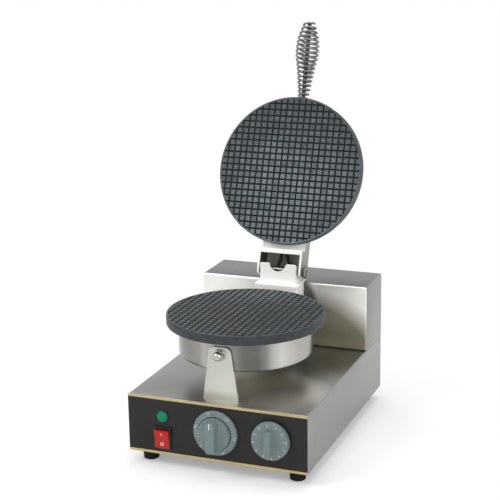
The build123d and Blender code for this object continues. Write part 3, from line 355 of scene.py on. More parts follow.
def plate_finish(name, pad, valley, turn, middle, levels, painted_light_pool):
    """Seasoned cast iron: pads of differing tone with painted highlights on their edges, lighter in a painted
    pool of light, and darker down in the grooves, partly seasoning residue and partly painted shade.
    """
    finish = Finish(name, Specular_IOR_Level=0.3)
    depth = finish.out("ShaderNodeAttribute", {"attribute_name": "groove_depth"}, None, 2)
    cell = finish.vector("ADD", finish.place(PAD_PITCH * MM, turn, middle), (0.5, 0.5, 0.5))
    own = finish.out("ShaderNodeTexWhiteNoise", None, {"Vector": finish.vector("FLOOR", cell)})
    # painted highlight along the pads' edges
    edge = finish.ramp(depth, (0.0, 0.0), (0.04, 1.0), (0.13, 1.0), (0.2, 0.0))
    cloud = finish.noise(0.05, detail=4.0, roughness=0.6)
    cast = finish.noise(0.0016, detail=3.0, roughness=0.65)
    worn = finish.noise(0.009)
    tone = finish.varied(1.0 + edge * 0.6, (cloud, 1.0), (cast, 2.6), (worn, 1.3), (own, 0.35))
    low, high = levels
    # painted light: the pads are lighter inside the pool of light
    top = finish.scaled(pad, tone * (finish.spot(*painted_light_pool, 0.0) * (high - low) + low))
    # darker down in the grooves: seasoning residue and painted shade of the grooves
    colour = finish.blended(top, valley, finish.ramp(depth, (0.04, 0.0), (0.23, 1.0)))
    return finish.done(colour, finish.varied(0.5 + depth * 0.3, (cast, 0.35)), cast, 0.00025, 0.7)


def printed_panel(name, lower_width, upper_width):
    """Dark printed panel with a gold line along its lower and upper edges, their widths in metres."""
    chosen = settings()
    finish = Finish(name, Specular_IOR_Level=0.3)
    height = finish.along("Z")
    stripe = finish.math("MAXIMUM", finish.math("LESS_THAN", height, PANEL_LOW.z * MM + lower_width),
                         finish.math("GREATER_THAN", height, PANEL_HIGH.z * MM - upper_width))
    speck = finish.noise(0.0007)
    cloud = finish.noise(0.06, detail=3.0)
    dark = finish.scaled(chosen.panel, finish.varied(1.0, (speck, 0.5), (cloud, 0.5)))
    warm = finish.scaled(chosen.gold, finish.varied(1.0, (speck, 0.2), (cloud, 0.6)))
    finish.feed("Metallic", stripe * 0.35)
    rough = finish.varied(0.5 - stripe * 0.12, (speck, 0.2))
    return finish.done(finish.blended(dark, warm, stripe), rough, speck, 0.00002, 0.4)


def braided(name, light, dark, pitch):
    """Woven sleeve: crossed threads over a dark ground."""
    finish = Finish(name)
    waves = [finish.out("ShaderNodeTexWave", {"bands_direction": "Z"},
                        {"Vector": finish.place(pitch, (turn, turn, 0)), "Scale": 0.5, "Distortion": 0.6}, 1)
             for turn in (0.9, -0.9)]
    weave = waves[0] * waves[1]
    return finish.done(finish.blended(dark, light, weave), 0.9 - weave * 0.2, weave, 0.0003, 0.8)


# ---- meshes ------------------------------------------------------
def linked(name, data):
    """A new object in the scene."""
    item = bpy.data.objects.new(name, data)
    bpy.context.scene.collection.objects.link(item)
    return item


def meshed(name, shape):
    """A bmesh as a mesh."""
    mesh = bpy.data.meshes.new(name)
    shape.to_mesh(mesh)
    shape.free()
    return mesh


def evaluated(carrier):
    """The plain mesh that a carrier's modifiers or text make; the carrier is removed."""
    bpy.context.view_layer.update()
    graph = bpy.context.evaluated_depsgraph_get()
    made = bpy.data.meshes.new_from_object(carrier.evaluated_get(graph), depsgraph=graph)
    bpy.data.objects.remove(carrier)
    return made


def painted(mesh, material):
    mesh.materials.clear()
    mesh.materials.append(material)


def kept(name, shape, material, angle=28.0):
    """An object at the origin from a bmesh or mesh in millimetres, smooth between its sharp edges."""
    mesh = meshed(name, shape) if isinstance(shape, bmesh.types.BMesh) else shape
    mesh.name = name
    mesh.transform(Matrix.Scale(MM, 4))
    mesh.shade_smooth()
    mesh.set_sharp_from_angle(angle=radians(angle))
    painted(mesh, material)
    return linked(name, mesh)


def added(name, shape, material, body, slot, *nodes, angle=28.0):
    """A kept piece that rides on its body and stands for its solids; its slot is not used."""
    piece = kept(name, shape, material, angle)
    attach(piece, body)
    if nodes:
        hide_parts(*nodes)
    return piece


def steps(start, end, count):
    """Evenly spaced values from start to end."""
    return [start + (end - start) * k / count for k in range(count + 1)]


def arc(middle, reach, start, end, count):
    """Points of an elliptical arc about a middle, from one angle to another."""
    return [(middle[0] + reach[0] * cos(a), middle[1] + reach[1] * sin(a)) for a in steps(start, end, count)]


def dome(radius, height, low):
    """Profile of a dome from its rim to its top."""
    return arc((0, low), (radius, height), 0, pi / 2, 8)[:-1] + [(0, low + height)]


def tunnel(shape, loops, closed=False):
    """Faces between one loop of vertices and the next, and from the last to the first if closed."""
    for low, high in list(zip(loops, loops[1:])) + ([(loops[-1], loops[0])] if closed else []):
        sides = max(len(low), len(high))
        for k in range(sides):
            n = (k + 1) % sides
            corners = (low[k % len(low)], low[n % len(low)], high[n % len(high)], high[k % len(high)])
            shape.faces.new(dict.fromkeys(corners))


def lathe(profile, place=None, sides=64, ring=False, shape=None):
    """Turns a (radius, height) profile about Z; ring joins its last point to its first."""
    shape = shape or bmesh.new()
    place = place or Matrix()
    loops = []
    for radius, height in profile:
        turns = [2 * pi * k / sides for k in range(sides if radius else 1)]
        loops.append([shape.verts.new(place @ Vector((radius * cos(a), radius * sin(a), height)))
                      for a in turns])
    tunnel(shape, loops, ring)
    return shape


def slab(low, high, place=None, round_by=0.0, shape=None):
    """A block, with rounded edges where round_by is given."""
    shape = shape or bmesh.new()
    made = bmesh.ops.create_cube(shape, size=1.0)["verts"]
    for vert in made:
        vert.co = Vector(a + (b - a) * (share + 0.5) for a, b, share in zip(low, high, vert.co))
    if round_by:
        edges = list(dict.fromkeys(edge for vert in made for edge in vert.link_edges))
        bevel = bmesh.ops.bevel(shape, geom=edges, offset=round_by, segments=3, profile=0.5, affect="EDGES")
        made = list(dict.fromkeys(vert for face in bevel["faces"] for vert in face.verts))
    bmesh.ops.transform(shape, matrix=place or Matrix(), verts=made)
    return shape


def prism(shape, outline, place, height):
    """An outline in (x, y) drawn out along Z."""
    loops = [[shape.verts.new(place @ Vector((x, y, z))) for x, y in outline] for z in (0, height)]
    shape.faces.new(reversed(loops[0]))
    shape.faces.new(loops[1])
    tunnel(shape, loops)


def dressed(name, node, material, body, slot, round_by=0.3):
    """A merged copy of a solid with its sharp edges rounded, standing for the solid."""
    shape = bmesh.new()
    shape.from_mesh(frame["nodes"][node].data)
    shape.transform(Matrix.Scale(1 / MM, 4))
    bmesh.ops.remove_doubles(shape, verts=shape.verts, dist=0.001)
    bmesh.ops.dissolve_limit(shape, angle_limit=radians(0.5), verts=shape.verts, edges=shape.edges)
    sharp = [edge for edge in shape.edges
             if len(edge.link_faces) == 2 and edge.calc_face_angle(0.0) > radians(25)]
    bmesh.ops.bevel(shape, geom=sharp, offset=round_by, segments=2, profile=0.5, affect="EDGES",
                    clamp_overlap=True)
    return added(name, shape, material, body, slot, node, angle=20.0)


def repaint_light_and_shade(piece, material, chosen):
    """Gives another finish, which here carries painted light and shade, to the faces whose middle, in
    millimetres, and normal are chosen.
    """
    piece.data.materials.append(material)
    for face in piece.data.polygons:
        if chosen(face.center / MM, face.normal):
            face.material_index = len(piece.data.materials) - 1


def finished(material, *nodes):
    """Gives carried solids a material."""
    for node in nodes:
        painted(frame["nodes"][node].data, material)


# ---- geometry nodes ----------------------------------------------
class Rule(Graph):
    """A Geometry Nodes tree with named inputs."""

    def __init__(self, name, **inputs):
        super().__init__(bpy.data.node_groups.new(name, "GeometryNodeTree"))
        kinds = {float: "NodeSocketFloat", int: "NodeSocketInt"}
        self.socket("Geometry", "INPUT", "NodeSocketGeometry")
        self.identifiers = {}
        for label, value in inputs.items():
            socket = self.socket(label, "INPUT", kinds[type(value)])
            socket.default_value = value
            self.identifiers[label] = socket.identifier
        self.socket("Geometry", "OUTPUT", "NodeSocketGeometry")
        self.start = self.node("NodeGroupInput")

    def socket(self, label, way, kind):
        return self.tree.interface.new_socket(name=label, in_out=way, socket_type=kind)

    def given(self, label):
        return Val(self, self.start.outputs[label])

    def xyz(self, **parts):
        return self.out("ShaderNodeCombineXYZ", None, parts)

    def line(self, count, place):
        """A row of points, each at its own place."""
        line = self.out("GeometryNodeMeshLine", None, {"Count": count})
        return self.out("GeometryNodeSetPosition", None, {"Geometry": line, "Position": place})

    def copies(self, points, instance, turn):
        return self.out("GeometryNodeInstanceOnPoints", None,
                        {"Points": points, "Instance": instance, "Rotation": turn})

    def tube(self, curve, radius, sides, **more):
        section = self.out("GeometryNodeCurvePrimitiveCircle", None, {"Resolution": sides, "Radius": radius})
        return self.out("GeometryNodeCurveToMesh", None,
                        {"Curve": curve, "Profile Curve": section, "Fill Caps": True, **more})

    def end(self, geometry, material):
        """Realizes what was made and sets its material."""
        real = self.out("GeometryNodeRealizeInstances", None, {"Geometry": geometry})
        coated = self.out("GeometryNodeSetMaterial", None, {"Geometry": real, "Material": material})
        self.node("NodeGroupOutput", None, {"Geometry": coated})
        return self

    def mesh(self, start=None, **values):
        """The plain mesh that the tree makes from these values."""
        carrier = linked(self.tree.name, start or bpy.data.meshes.new(self.tree.name))
        modifier = carrier.modifiers.new(self.tree.name, "NODES")
        modifier.node_group = self.tree
        for label, value in values.items():
            modifier[self.identifiers[label]] = value
        return evaluated(carrier)


def corners(node, inset, level, at_back=False):
    """Four places in from a node's corners: at this height and facing up, or on a wall and facing back."""
    low, high, middle = span(node)
    if at_back:
        return [(side * (high.x - inset), level, z, (0, 1, 0))
                for side in (-1, 1) for z in (low.z + inset, high.z - inset)]
    return [(side * (high.x - inset), y, level, (0, 0, 1))
            for side in (-1, 1) for y in (low.y + inset, high.y - inset)]


def copies(name, shape, places, material, body, slot, node):
    """A shape repeated at (x, y, z, direction) places, as one piece."""
    template = linked(name + "_template", meshed(name + "_template", shape))
    start = bpy.data.meshes.new(name + "_places")
    start.from_pydata([place[:3] for place in places], [], [])
    direction = start.attributes.new("facing", "FLOAT_VECTOR", "POINT")
    direction.data.foreach_set("vector", [value for place in places for value in place[3]])
    rule = Rule(name + "_rule")
    source = rule.out("GeometryNodeObjectInfo", None, {"Object": template}, 4)
    towards = rule.out("GeometryNodeInputNamedAttribute", {"data_type": "FLOAT_VECTOR"}, {"Name": "facing"})
    turn = rule.out("FunctionNodeAlignRotationToVector", {"axis": "Z"}, {"Vector": towards})
    made = rule.end(rule.copies(rule.given("Geometry"), source, turn), material).mesh(start)
    bpy.data.objects.remove(template)
    added(name, made, material, body, slot, node)


def marks_rule(name, material):
    """Raised bars set round an arc, pointing at its middle."""
    rule = Rule(name, Count=11, Radius=24.0, Start=0.0, Sweep=1.0, Length=2.0, Width=0.5, Height=0.2)
    given = rule.given
    count = given("Count")
    angle = given("Start") + given("Sweep") * rule.out("GeometryNodeInputIndex") / (count - 1.0)
    points = rule.line(count, rule.xyz(X=given("Radius") * rule.math("COSINE", angle),
                                       Y=given("Radius") * rule.math("SINE", angle)))
    size = rule.xyz(X=given("Length"), Y=given("Width"), Z=given("Height"))
    bar = rule.out("GeometryNodeMeshCube", None, {"Size": size})
    return rule.end(rule.copies(points, bar, rule.xyz(Z=angle)), material)


def coil_rule(name, profile, material):
    """Wire wound round an axis with leaning turns; its outer radius along the length follows the profile."""
    rule = Rule(name, Start=0.0, Run=100.0, Turns=19.0, Wire=3.0, Steps=400, Widest=16.0, Lean=0.1)
    given = rule.given
    share = rule.out("GeometryNodeInputIndex") / (given("Steps") - 1.0)
    swell = rule.out("ShaderNodeFloatCurve", {"curve": profile}, {"Value": share})
    reach = swell * given("Widest") - given("Wire") / 2.0
    angle = share * given("Turns") * (2 * pi)
    across = reach * rule.math("SINE", angle)
    height = given("Start") + given("Run") * share - across * given("Lean")
    points = rule.line(given("Steps"), rule.xyz(X=reach * rule.math("COSINE", angle), Y=across, Z=height))
    curve = rule.out("GeometryNodeMeshToCurve", None, {"Mesh": points})
    return rule.end(rule.tube(curve, given("Wire") / 2.0, 8), material)


def sleeve_rule(name, material):
    """Ribbed sleeve along the start curve."""
    rule = Rule(name, Radius=2.6, Rib=0.3, Pitch=1.6)
    given = rule.given
    curve = rule.out("GeometryNodeResampleCurve", {"mode": "LENGTH"},
                     {"Curve": given("Geometry"), "Length": given("Pitch") / 4.0})
    wave = rule.math("SINE", rule.out("GeometryNodeInputIndex") * (pi / 2))
    thick = given("Radius") - given("Rib") * (1.0 - wave) / 2.0
    curve = rule.out("GeometryNodeSetCurveRadius", None, {"Curve": curve, "Radius": thick})
    return rule.end(rule.tube(curve, 1.0, 16, Scale=thick), material)


# ---- settings ----------------------------------------------------
def colour_setting(name, description, default):
    return FloatVectorProperty(name=name, description=description, default=default, size=3, min=0.0,
                               max=1.0, subtype="COLOR")


class ConeIronSettings(PropertyGroup):
    """Sizes and colours of the waffle-cone iron."""

    steel: colour_setting("Brushed steel", "Case and riser", linear(145, 145, 143))
    bright: colour_setting("Bright sheet", "Plinth, bracket, yoke and block", linear(252, 252, 248))
    plate: colour_setting("Plate pads", "Tops of the pads on both plates", linear(61, 67, 69))
    valley: colour_setting("Plate grooves", "Bottoms of the grooves", linear(25, 28, 30))
    panel: colour_setting("Front panel", "Field of the printed panel", linear(25, 25, 25))
    gold: colour_setting("Gold lines", "Lines along the panel's edges", linear(188, 167, 120))
    knobs: colour_setting("Knobs", "Knobs and the graduated ring", linear(106, 121, 123))
    rocker: colour_setting("Rocker", "Mains switch rocker", linear(178, 30, 22))
    lens: colour_setting("Lamp lens", "Pilot lamp", linear(0, 122, 84))
    groove_depth: FloatProperty(name="Groove depth", description="Depth of the plates' grooves, in millimetres",
                                default=2.0, min=0.5, max=2.0)
    gold_width: FloatProperty(name="Gold line width", description="Width of the panel's lines",
                              default=0.003, min=0.001, max=0.008, unit="LENGTH", subtype="DISTANCE")
    coil_turns: FloatProperty(name="Coil turns", description="Turns of wire round the handle",
                              default=19.0, min=10.0, max=22.0)
    minor_marks: IntProperty(name="Dial marks", description="Small marks on the thermostat's ring",
                             default=31, min=6, max=61)
    sky: FloatProperty(name="Sky", description="Strength of the light from all round",
                       default=0.55, min=0.0, max=1.0)


def settings():
    return bpy.context.scene.cone_iron


# ---- operators ---------------------------------------------------
class PieceOperator(Operator):
    """Common ground of the operators that dress the iron."""

    bl_options = {"REGISTER", "UNDO"}

    def execute(self, context):
        self.make()
        return {"FINISHED"}


def sheet_finish(name, colour, smudges, bands=0.04, **more):
    """Case sheet, brushed from side to side."""
    return brushed(name, colour, (25, 1, 1), bands, smudges, 0.34, **more)


class CONEIRON_OT_case(PieceOperator):
    """Folded case with its bottom cover and front panel"""

    bl_idname = "coneiron.case"
    bl_label = "Case"

    def make(self):
        chosen = settings()
        sheet = sheet_finish("brushed_case", chosen.steel, 0.2)
        case = dressed("case_sheet", "base_shell", sheet, "base", "brushed_stainless", 0.5)
        deck = span("base_shell")[1].z
        # painted light and shade on the deck: lighter, warm patches by the drum, painted light and reflection,
        # and darker patches at the back right and front left, painted reflection and shade
        spots = (((40, -112, deck), (95, 80, 40), (3.0, 2.92, 2.6), 0.3),
                 ((95, 25, deck), (75, 85, 40), (0.7, 0.68, 0.56), 0.3),
                 ((30, -60, deck), (60, 50, 40), (1.3, 1.26, 1.1), 0.2),
                 ((-90, -130, deck), (50, 60, 40), (0.8, 0.8, 0.8), 0.2))
        top = sheet_finish("brushed_deck", chosen.steel, 0.24, 0.06, metallic=0.85, spots=spots)
        repaint_light_and_shade(case, top, lambda middle, normal: normal.z > 0.9 and middle.z > deck - 1.0)
        dressed("case_floor", "bottom_cover", sheet, "base", "brushed_stainless", 0.2)
        lower_share = 1.15
        panel = printed_panel("printed_panel", chosen.gold_width * lower_share, chosen.gold_width)
        dressed("front_panel", "front_fascia", panel, "base", "front_panel", 0.25)


class CONEIRON_OT_riser(PieceOperator):
    """Riser behind the irons, with its vented cover"""

    bl_idname = "coneiron.riser"
    bl_label = "Riser"

    def make(self):
        sheet = sheet_finish("brushed_riser", settings().steel, 0.1)
        riser = dressed("riser_sheet", "rear_housing", sheet, "base", "brushed_stainless", 0.8)
        wall = span("rear_housing")[0].y
        # painted light and shade on the riser's front: a broad dark painted reflection over its lower middle, a
        # small dark painted shadow beside the plinth, a lighter painted band low on the right, and a thin dark
        # line across it at 92.5 mm
        spots = (((22, wall, 88), (138, 40, 90), (0.3, 0.29, 0.22), 0.72),
                 ((24, wall, 150), (28, 40, 46), (0.16, 0.16, 0.15), 0.74),
                 ((74, wall, 98), (70, 40, 16), (1.6, 1.55, 1.5), 0.1),
                 ((0, wall, 92.5), (400, 40, 2.2), (0.1, 0.1, 0.09), 0.6))
        # painted light: the front, and the rounded edges that turn toward it, get a much lighter copy of the
        # sheet, with painted highlights along those edges
        front = sheet_finish("riser_front", linear(236, 235, 230), 0.12, metallic=0.6, spots=spots)
        repaint_light_and_shade(riser, front, lambda middle, normal: normal.y < -0.3)
        # painted shade: the riser's top faces get a darker copy of the sheet
        shaded_roof = sheet_finish("riser_top", linear(108, 110, 110), 0.3, 0.16)
        repaint_light_and_shade(riser, shaded_roof, lambda middle, normal: normal.z > 0.9)
        dressed("riser_cover", "rear_cover", sheet, "base", "brushed_stainless", 0.2)


class CONEIRON_OT_feet(PieceOperator):
    """Four turned rubber feet"""

    bl_idname = "coneiron.feet"
    bl_label = "Feet"

    def make(self):
        rubber = mottled("black_rubber", linear(15, 15, 16), 0.0008, 0.4, 0.62, specular=0.25)
        radius, height = 10.9, span("feet")[1].z
        foot = lathe([(0, 2.4), (4.2, 2.4), (4.6, 0.2), (5.0, 0.0), (radius - 1.8, 0.0), (radius - 1.0, 0.5),
                      (radius - 0.3, height - 4.0), (radius, height - 3.4), (radius, height - 0.4),
                      (radius - 0.4, height), (0, height)], sides=40)
        copies("rubber_feet", foot, corners("feet", 11.0, 0.0), rubber, "base", "rubber", "feet")


class CONEIRON_OT_screws(PieceOperator):
    """Pan-head screws of the covers, the feet and the earth terminal"""

    bl_idname = "coneiron.screws"
    bl_label = "Screws"

    def make(self):
        zinc = brushed("screw_steel", linear(190, 190, 188))
        brass = brushed("brass", linear(196, 160, 84))
        places = corners("cover_screws", SCREW_R, span("rear_cover")[1].y, at_back=True)
        self.screws("riser_screws", 3.4, places, zinc, "fasteners", "cover_screws")
        places = corners("foot_screws", SCREW_R, span("foot_screws")[1].z - HEAD_H)
        self.screws("foot_fixings", 2.4, places, zinc, "fasteners", "foot_screws")
        low, high, middle = span("earth_stud")
        places = [(middle.x, high.y - HEAD_H, middle.z, (0, 1, 0))]
        self.screws("earth_screw", 12.0, places, brass, "brass", "earth_stud")

    def screws(self, name, shank, places, metal, slot, node):
        screw = lathe([(0, -shank), (1.7, -shank), (1.95, 0.3 - shank), (1.95, 0), (3.55, 0.0), (3.55, 0.7),
                       (3.3, 1.25), (2.7, 1.7), (1.9, 1.95), (0, 1.95)], sides=24)
        copies(name, screw, places, metal, "base", slot, node)


def pad_field(shape, field):
    """Pads between two crossed rows of V grooves, trimmed to a circle."""
    section = [(-1.75, 0.0), (-1.3, 0.15), (0.0, 1.0), (1.3, 0.15), (1.75, 0.0)]
    cuts = [(0.0, 0.0)] + [((i + 0.5) * PAD_PITCH + step, level)
                           for i in range(int(field / PAD_PITCH) + 1) for step, level in section]
    depth = settings().groove_depth
    grid = [[shape.verts.new((x, y, -depth * max(a, b))) for y, b in cuts] for x, a in cuts]
    for i in range(len(cuts) - 1):
        for j in range(len(cuts) - 1):
            if cuts[i][0] ** 2 + cuts[j][0] ** 2 > field ** 2:
                continue
            low, right, high, up = grid[i][j], grid[i + 1][j], grid[i + 1][j + 1], grid[i][j + 1]
            level = abs(low.co.z - high.co.z) >= abs(right.co.z - up.co.z)
            shape.faces.new((low, right, high if level else up))
            shape.faces.new((low if level else right, high, up))
    panes = 24
    for k in range(panes):
        turn = pi / 2 * (k + 0.5) / panes
        out = Vector((cos(turn), sin(turn), 0))
        bmesh.ops.bisect_plane(shape, geom=shape.verts[:] + shape.edges[:] + shape.faces[:], dist=1e-4,
                               plane_co=out * field * cos(pi / 4 / panes), plane_no=out, clear_outer=True)
    faces = list(shape.faces)
    for k in (1, 2, 3):
        quarter = bmesh.ops.duplicate(shape, geom=faces)["geom"]
        bmesh.ops.rotate(shape, verts=[item for item in quarter if isinstance(item, bmesh.types.BMVert)],
                         cent=(0, 0, 0), matrix=Matrix.Rotation(pi / 2 * k, 3, "Z"))
    bmesh.ops.remove_doubles(shape, verts=shape.verts, dist=1e-3)


def plate_mesh():
    """A closed plate, face up at z = 0, with groove_depth from 0 to 1 on its points."""
    field = PLATE_R - BORDER_W
    shape = bmesh.new()
    pad_field(shape, field)
    edges = [edge for edge in shape.edges if len(edge.link_faces) == 1]
    lifted = {vert: vert if vert.co.z > -1e-4 else shape.verts.new((vert.co.x, vert.co.y, 0.0))
              for vert in dict.fromkeys(vert for edge in edges for vert in edge.verts)}
    for edge in edges:
        first, second = next((loop.vert, loop.link_loop_next.vert)
                             for loop in edge.link_faces[0].loops if loop.edge == edge)
        corners = dict.fromkeys((second, first, lifted[first], lifted[second]))
        if len(corners) > 2:
            shape.faces.new(corners)
    ring = sorted(dict.fromkeys(lifted.values()), key=lambda vert: atan2(vert.co.y, vert.co.x))
    turns = [atan2(vert.co.y, vert.co.x) for vert in ring]
    spigot = SHELL_R - SHEET - 0.3
    outline = [(PLATE_R - 0.9, 0.0), (PLATE_R - 0.3, -0.25), (PLATE_R, -0.9), (PLATE_R, 0.9 - PLATE_T),
               (PLATE_R - 0.3, 0.25 - PLATE_T), (PLATE_R - 0.9, -PLATE_T), (spigot, -PLATE_T),
               (spigot, -PLATE_T - SPIGOT_H)]
    loops = [[shape.verts.new((radius * cos(a), radius * sin(a), height)) for a in turns]
             for radius, height in outline]
    middle = shape.verts.new((0, 0, -PLATE_T - SPIGOT_H))
    tunnel(shape, [[middle]] + loops[::-1] + [ring])
    mesh = meshed("plate", shape)
    depths = [min(max(-vert.co.z / settings().groove_depth, 0.0), 1.0)
              if vert.co.xy.length < field + 0.1 else BORDER_SHADE for vert in mesh.vertices]
    mesh.attributes.new("groove_depth", "FLOAT", "POINT").data.foreach_set("value", depths)
    return mesh


class CONEIRON_OT_plates(PieceOperator):
    """Two cast plates with square pads between crossed V grooves"""

    bl_idname = "coneiron.plates"
    bl_label = "Plates"

    def make(self):
        chosen = settings()
        mesh = plate_mesh()
        above = UPPER_IRON.translation - Vector((0, 0, 40))
        # painted light: how light the grooves are painted, how light the pads are outside and inside a painted
        # pool of light, and where that pool lies
        looks = {"lower": (0.9, (0.82, 1.8), ((-10, IRON_Y + 85, FACE_Z), (110, 60, 60))),
                 "upper": (2.2, (1.05, 3.3), (above, (130, 130, 130)))}
        for iron, (place, body, turn) in IRONS.items():
            own = mesh.copy()
            own.transform(place)
            painted_groove_light, levels, painted_light_pool = looks[iron]
            material = plate_finish("seasoned_iron_" + iron, chosen.plate, Vector(chosen.valley) * painted_groove_light,
                                    turn, place.translation * MM, levels, painted_light_pool)
            added(iron + "_baking_plate", own, material, body, "cast_plate", iron + "_plate", angle=30.0)


class CONEIRON_OT_drums(PieceOperator):
    """Drawn steel pans behind the plates"""

    bl_idname = "coneiron.drums"
    bl_label = "Drums"

    def make(self):
        end, bend = -PLATE_T - SHELL_H, 3.0
        inner = SHELL_R - SHEET
        outside = arc((SHELL_R - bend, end + bend), (bend, -bend), 0, pi / 2, 6)[::-1]
        inside = [(inner, -PLATE_T), (inner, end + 3.2), (inner - 0.8, end + 1.8), (inner - 2.4, end + SHEET)]
        profile = [(0, end), *outside, (SHELL_R, -PLATE_T), *inside, (0, end + SHEET)]
        for iron, (place, body, turn) in IRONS.items():
            material = spun("brushed_drum_" + iron, linear(173, 171, 166), turn, place.translation * MM)
            added(iron + "_drum", lathe(profile, place, 144), material, body, "brushed_stainless",
                  iron + "_shell")


class CONEIRON_OT_support(PieceOperator):
    """Front support with its stud, washer and dome nut"""

    bl_idname = "coneiron.support"
    bl_label = "Front support"

    def make(self):
        sheet = brushed("support_sheet", linear(197, 197, 189), (1, 1, 3), bands=0.06, smudges=0.3,
                        roughness=0.34, metallic=0.6)
        dressed("support_upright", "front_support", sheet, "base", "bright_stainless", 0.35)
        nut = brushed("nickel_nut", linear(184, 182, 172), smudges=0.1, roughness=0.16)
        low, high, middle = span("support_washer")
        washer = lathe([(3.3, 0.0), (7.2, 0.0), (7.55, 0.35), (7.55, 1.05), (7.2, 1.38), (3.3, 1.38)],
                       facing(0, high.y, middle.z), 48, ring=True)
        added("round_washer", washer, nut, "base", "fasteners", "support_washer")
        face = facing(0, low.y, middle.z)
        shape = lathe([(3.3, 0.0), (5.6, 0.0), (6.35, 0.5), (6.35, 4.4), (5.6, 4.9), (5.3, 5.0)], face, 6)
        lathe([(5.0, 4.4), (6.1, 4.6)] + dome(6.3, 5.75, 5.2), face, 48, shape=shape)
        added("domed_nut", shape, nut, "base", "fasteners", "dome_nut")
        finished(nut, "support_stud")


class CONEIRON_OT_hinge(PieceOperator):
    """Plinth, bracket, pin and nuts of the hinge, and the yoke and block of the lid"""

    bl_idname = "coneiron.hinge"
    bl_label = "Hinge"

    def make(self):
        # shaded copies of the bright sheet, painted shade: inside the yoke and bracket, on the inner face of
        # the yoke's back and on the arms' outer sides
        looks = (("sheet", settings().bright, 0.02, 0.05, 0.45, 0.05),
                 ("inside", linear(74, 73, 66), 0.06, 0.2, 0.5, 0.3),
                 ("flank", linear(150, 151, 145), 0.06, 0.1, 0.36, 1.0),
                 ("web", linear(180, 179, 169), 0.06, 0.2, 0.5, 0.15))
        bright, inner, flank, web = (
            brushed("hinge_" + name, colour, (1, 1, 2), bands, smudges, roughness, metallic)
            for name, colour, bands, smudges, roughness, metallic in looks)
        duct = brushed("duct_sheet", settings().steel, (1, 12, 1), bands=0.1)
        dressed("folded_plinth", "hinge_plinth", bright, "base", "bright_stainless", 0.3)
        self.bracket(bright, inner)
        fork = dressed("lid_fork", "lid_yoke", bright, "lid", "bright_stainless", 0.4)
        arm = span("lid_yoke")[1].x - ARM_T
        shut = SWING.inverted()
        # painted shade on the arms' inner faces
        repaint_light_and_shade(fork, inner, lambda middle, normal: abs(middle.x) < arm + 0.1
                  and (shut @ middle).z > PIN.z - 12 and normal.x * middle.x < -0.5 * abs(middle.x))
        # painted shade on the inner face of the yoke's back
        repaint_light_and_shade(fork, web, lambda middle, normal: abs(middle.x) < arm - 0.5
                  and (shut @ middle).z > PIN.z + 8 and (shut.to_3x3() @ normal).z < -0.9)
        # painted shade on the arms' outer sides
        repaint_light_and_shade(fork, flank, lambda middle, normal: normal.x * middle.x > 0.9 * abs(middle.x) > 0.9 * arm)
        dressed("lid_spacer", "lid_block", bright, "lid", "bright_stainless", 0.4)
        dressed("square_duct", "lead_duct", duct, "base", "brushed_stainless", 0.3)
        self.pin()

    def pin(self):
        """Shouldered pin with a hexagon nut on each end."""
        steel = brushed("pin_steel", linear(140, 138, 132), (20, 1, 1), roughness=0.22)
        axis = moved(0, PIN.y, PIN.z) @ turned_by(pi / 2, "Y")
        reach = span("hinge_pin")[1].x
        shoulder = reach - NUT_T - ARM_T - 2 * PLAY
        half = [(4.9, shoulder), (3.95, shoulder), (3.95, reach - 0.5), (3.4, reach), (0, reach)]
        shape = lathe([(radius, -z) for radius, z in half[::-1]] + half, axis, 32)
        added("shoulder_pin", shape, steel, "base", "fasteners", "hinge_pin")
        nuts = bmesh.new()
        for z in (-reach, reach - NUT_T):
            end = z + NUT_T
            lathe([(3.97, z), (5.7, z), (6.35, z + 0.5), (6.35, end - 0.5), (5.7, end), (3.97, end)],
                  axis, 6, ring=True, shape=nuts)
        plated = brushed("nut_plating", linear(196, 190, 164), smudges=0.1, roughness=0.26)
        added("hexagon_nuts", nuts, plated, "base", "fasteners", "hinge_nuts")

    def bracket(self, bright, inner):
        """Front wall with its round notch, two ears for the pin and the floor."""
        low, high, middle = span("hinge_bracket")
        sheet, ear, notch, deep, corner, blunt = 2.5, 9.0, 11.7, 10.5, 2.2, 0.8
        half = high.x
        centre = high.z + notch - deep
        edge = high.z - corner
        spread = notch + corner
        meet = atan2(edge - centre, sqrt(spread ** 2 - (edge - centre) ** 2))
        shoulder = spread * cos(meet)
        wall = [(-half, low.z), (half, low.z), (half, high.z - blunt), (half - blunt, high.z)]
        wall += arc((shoulder, edge), (corner, corner), pi / 2, pi - meet, 6)
        wall += arc((0, centre), (notch, notch), meet, -pi - meet, 28)
        wall += arc((-shoulder, edge), (-corner, corner), pi - meet, pi / 2, 6)
        wall += [(blunt - half, high.z), (-half, high.z - blunt)]
        shape = bmesh.new()
        prism(shape, wall, facing(0, low.y + sheet, 0), sheet)
        side = [(low.y + sheet, low.z), (PIN.y + ear, low.z)]
        side += arc((PIN.y, PIN.z), (ear, ear), 0, pi / 2, 12) + [(low.y + sheet, high.z - sheet)]
        upright = Matrix(((0, 0, 1, 0), (1, 0, 0, 0), (0, 1, 0, 0), (0, 0, 0, 1)))
        for x in (-half, half - sheet):
            prism(shape, side, moved(x, 0, 0) @ upright, sheet)
        slab((sheet - half, low.y + sheet, low.z), (half - sheet, PIN.y + ear, low.z + sheet), shape=shape)
        piece = added("notched_bracket", shape, bright, "base", "bright_stainless", "hinge_bracket")
        # painted shade on the bracket's inner faces
        repaint_light_and_shade(piece, inner, lambda middle, normal: abs(middle.x) < half - 1.0 and low.y + 1.0 < middle.y
                  and low.z + 1.0 < middle.z < high.z - 1.0)


def smooth_route(points):
    """A NURBS line that follows the route's points."""
    curve = bpy.data.curves.new("route", "CURVE")
    curve.dimensions = "3D"
    spline = curve.splines.new("NURBS")
    spline.points.add(len(points) - 1)
    for target, point in zip(spline.points, points):
        target.co = (*point, 1.0)
    spline.order_u = 3
    spline.use_endpoint_u = True
    spline.resolution_u = 12
    return curve


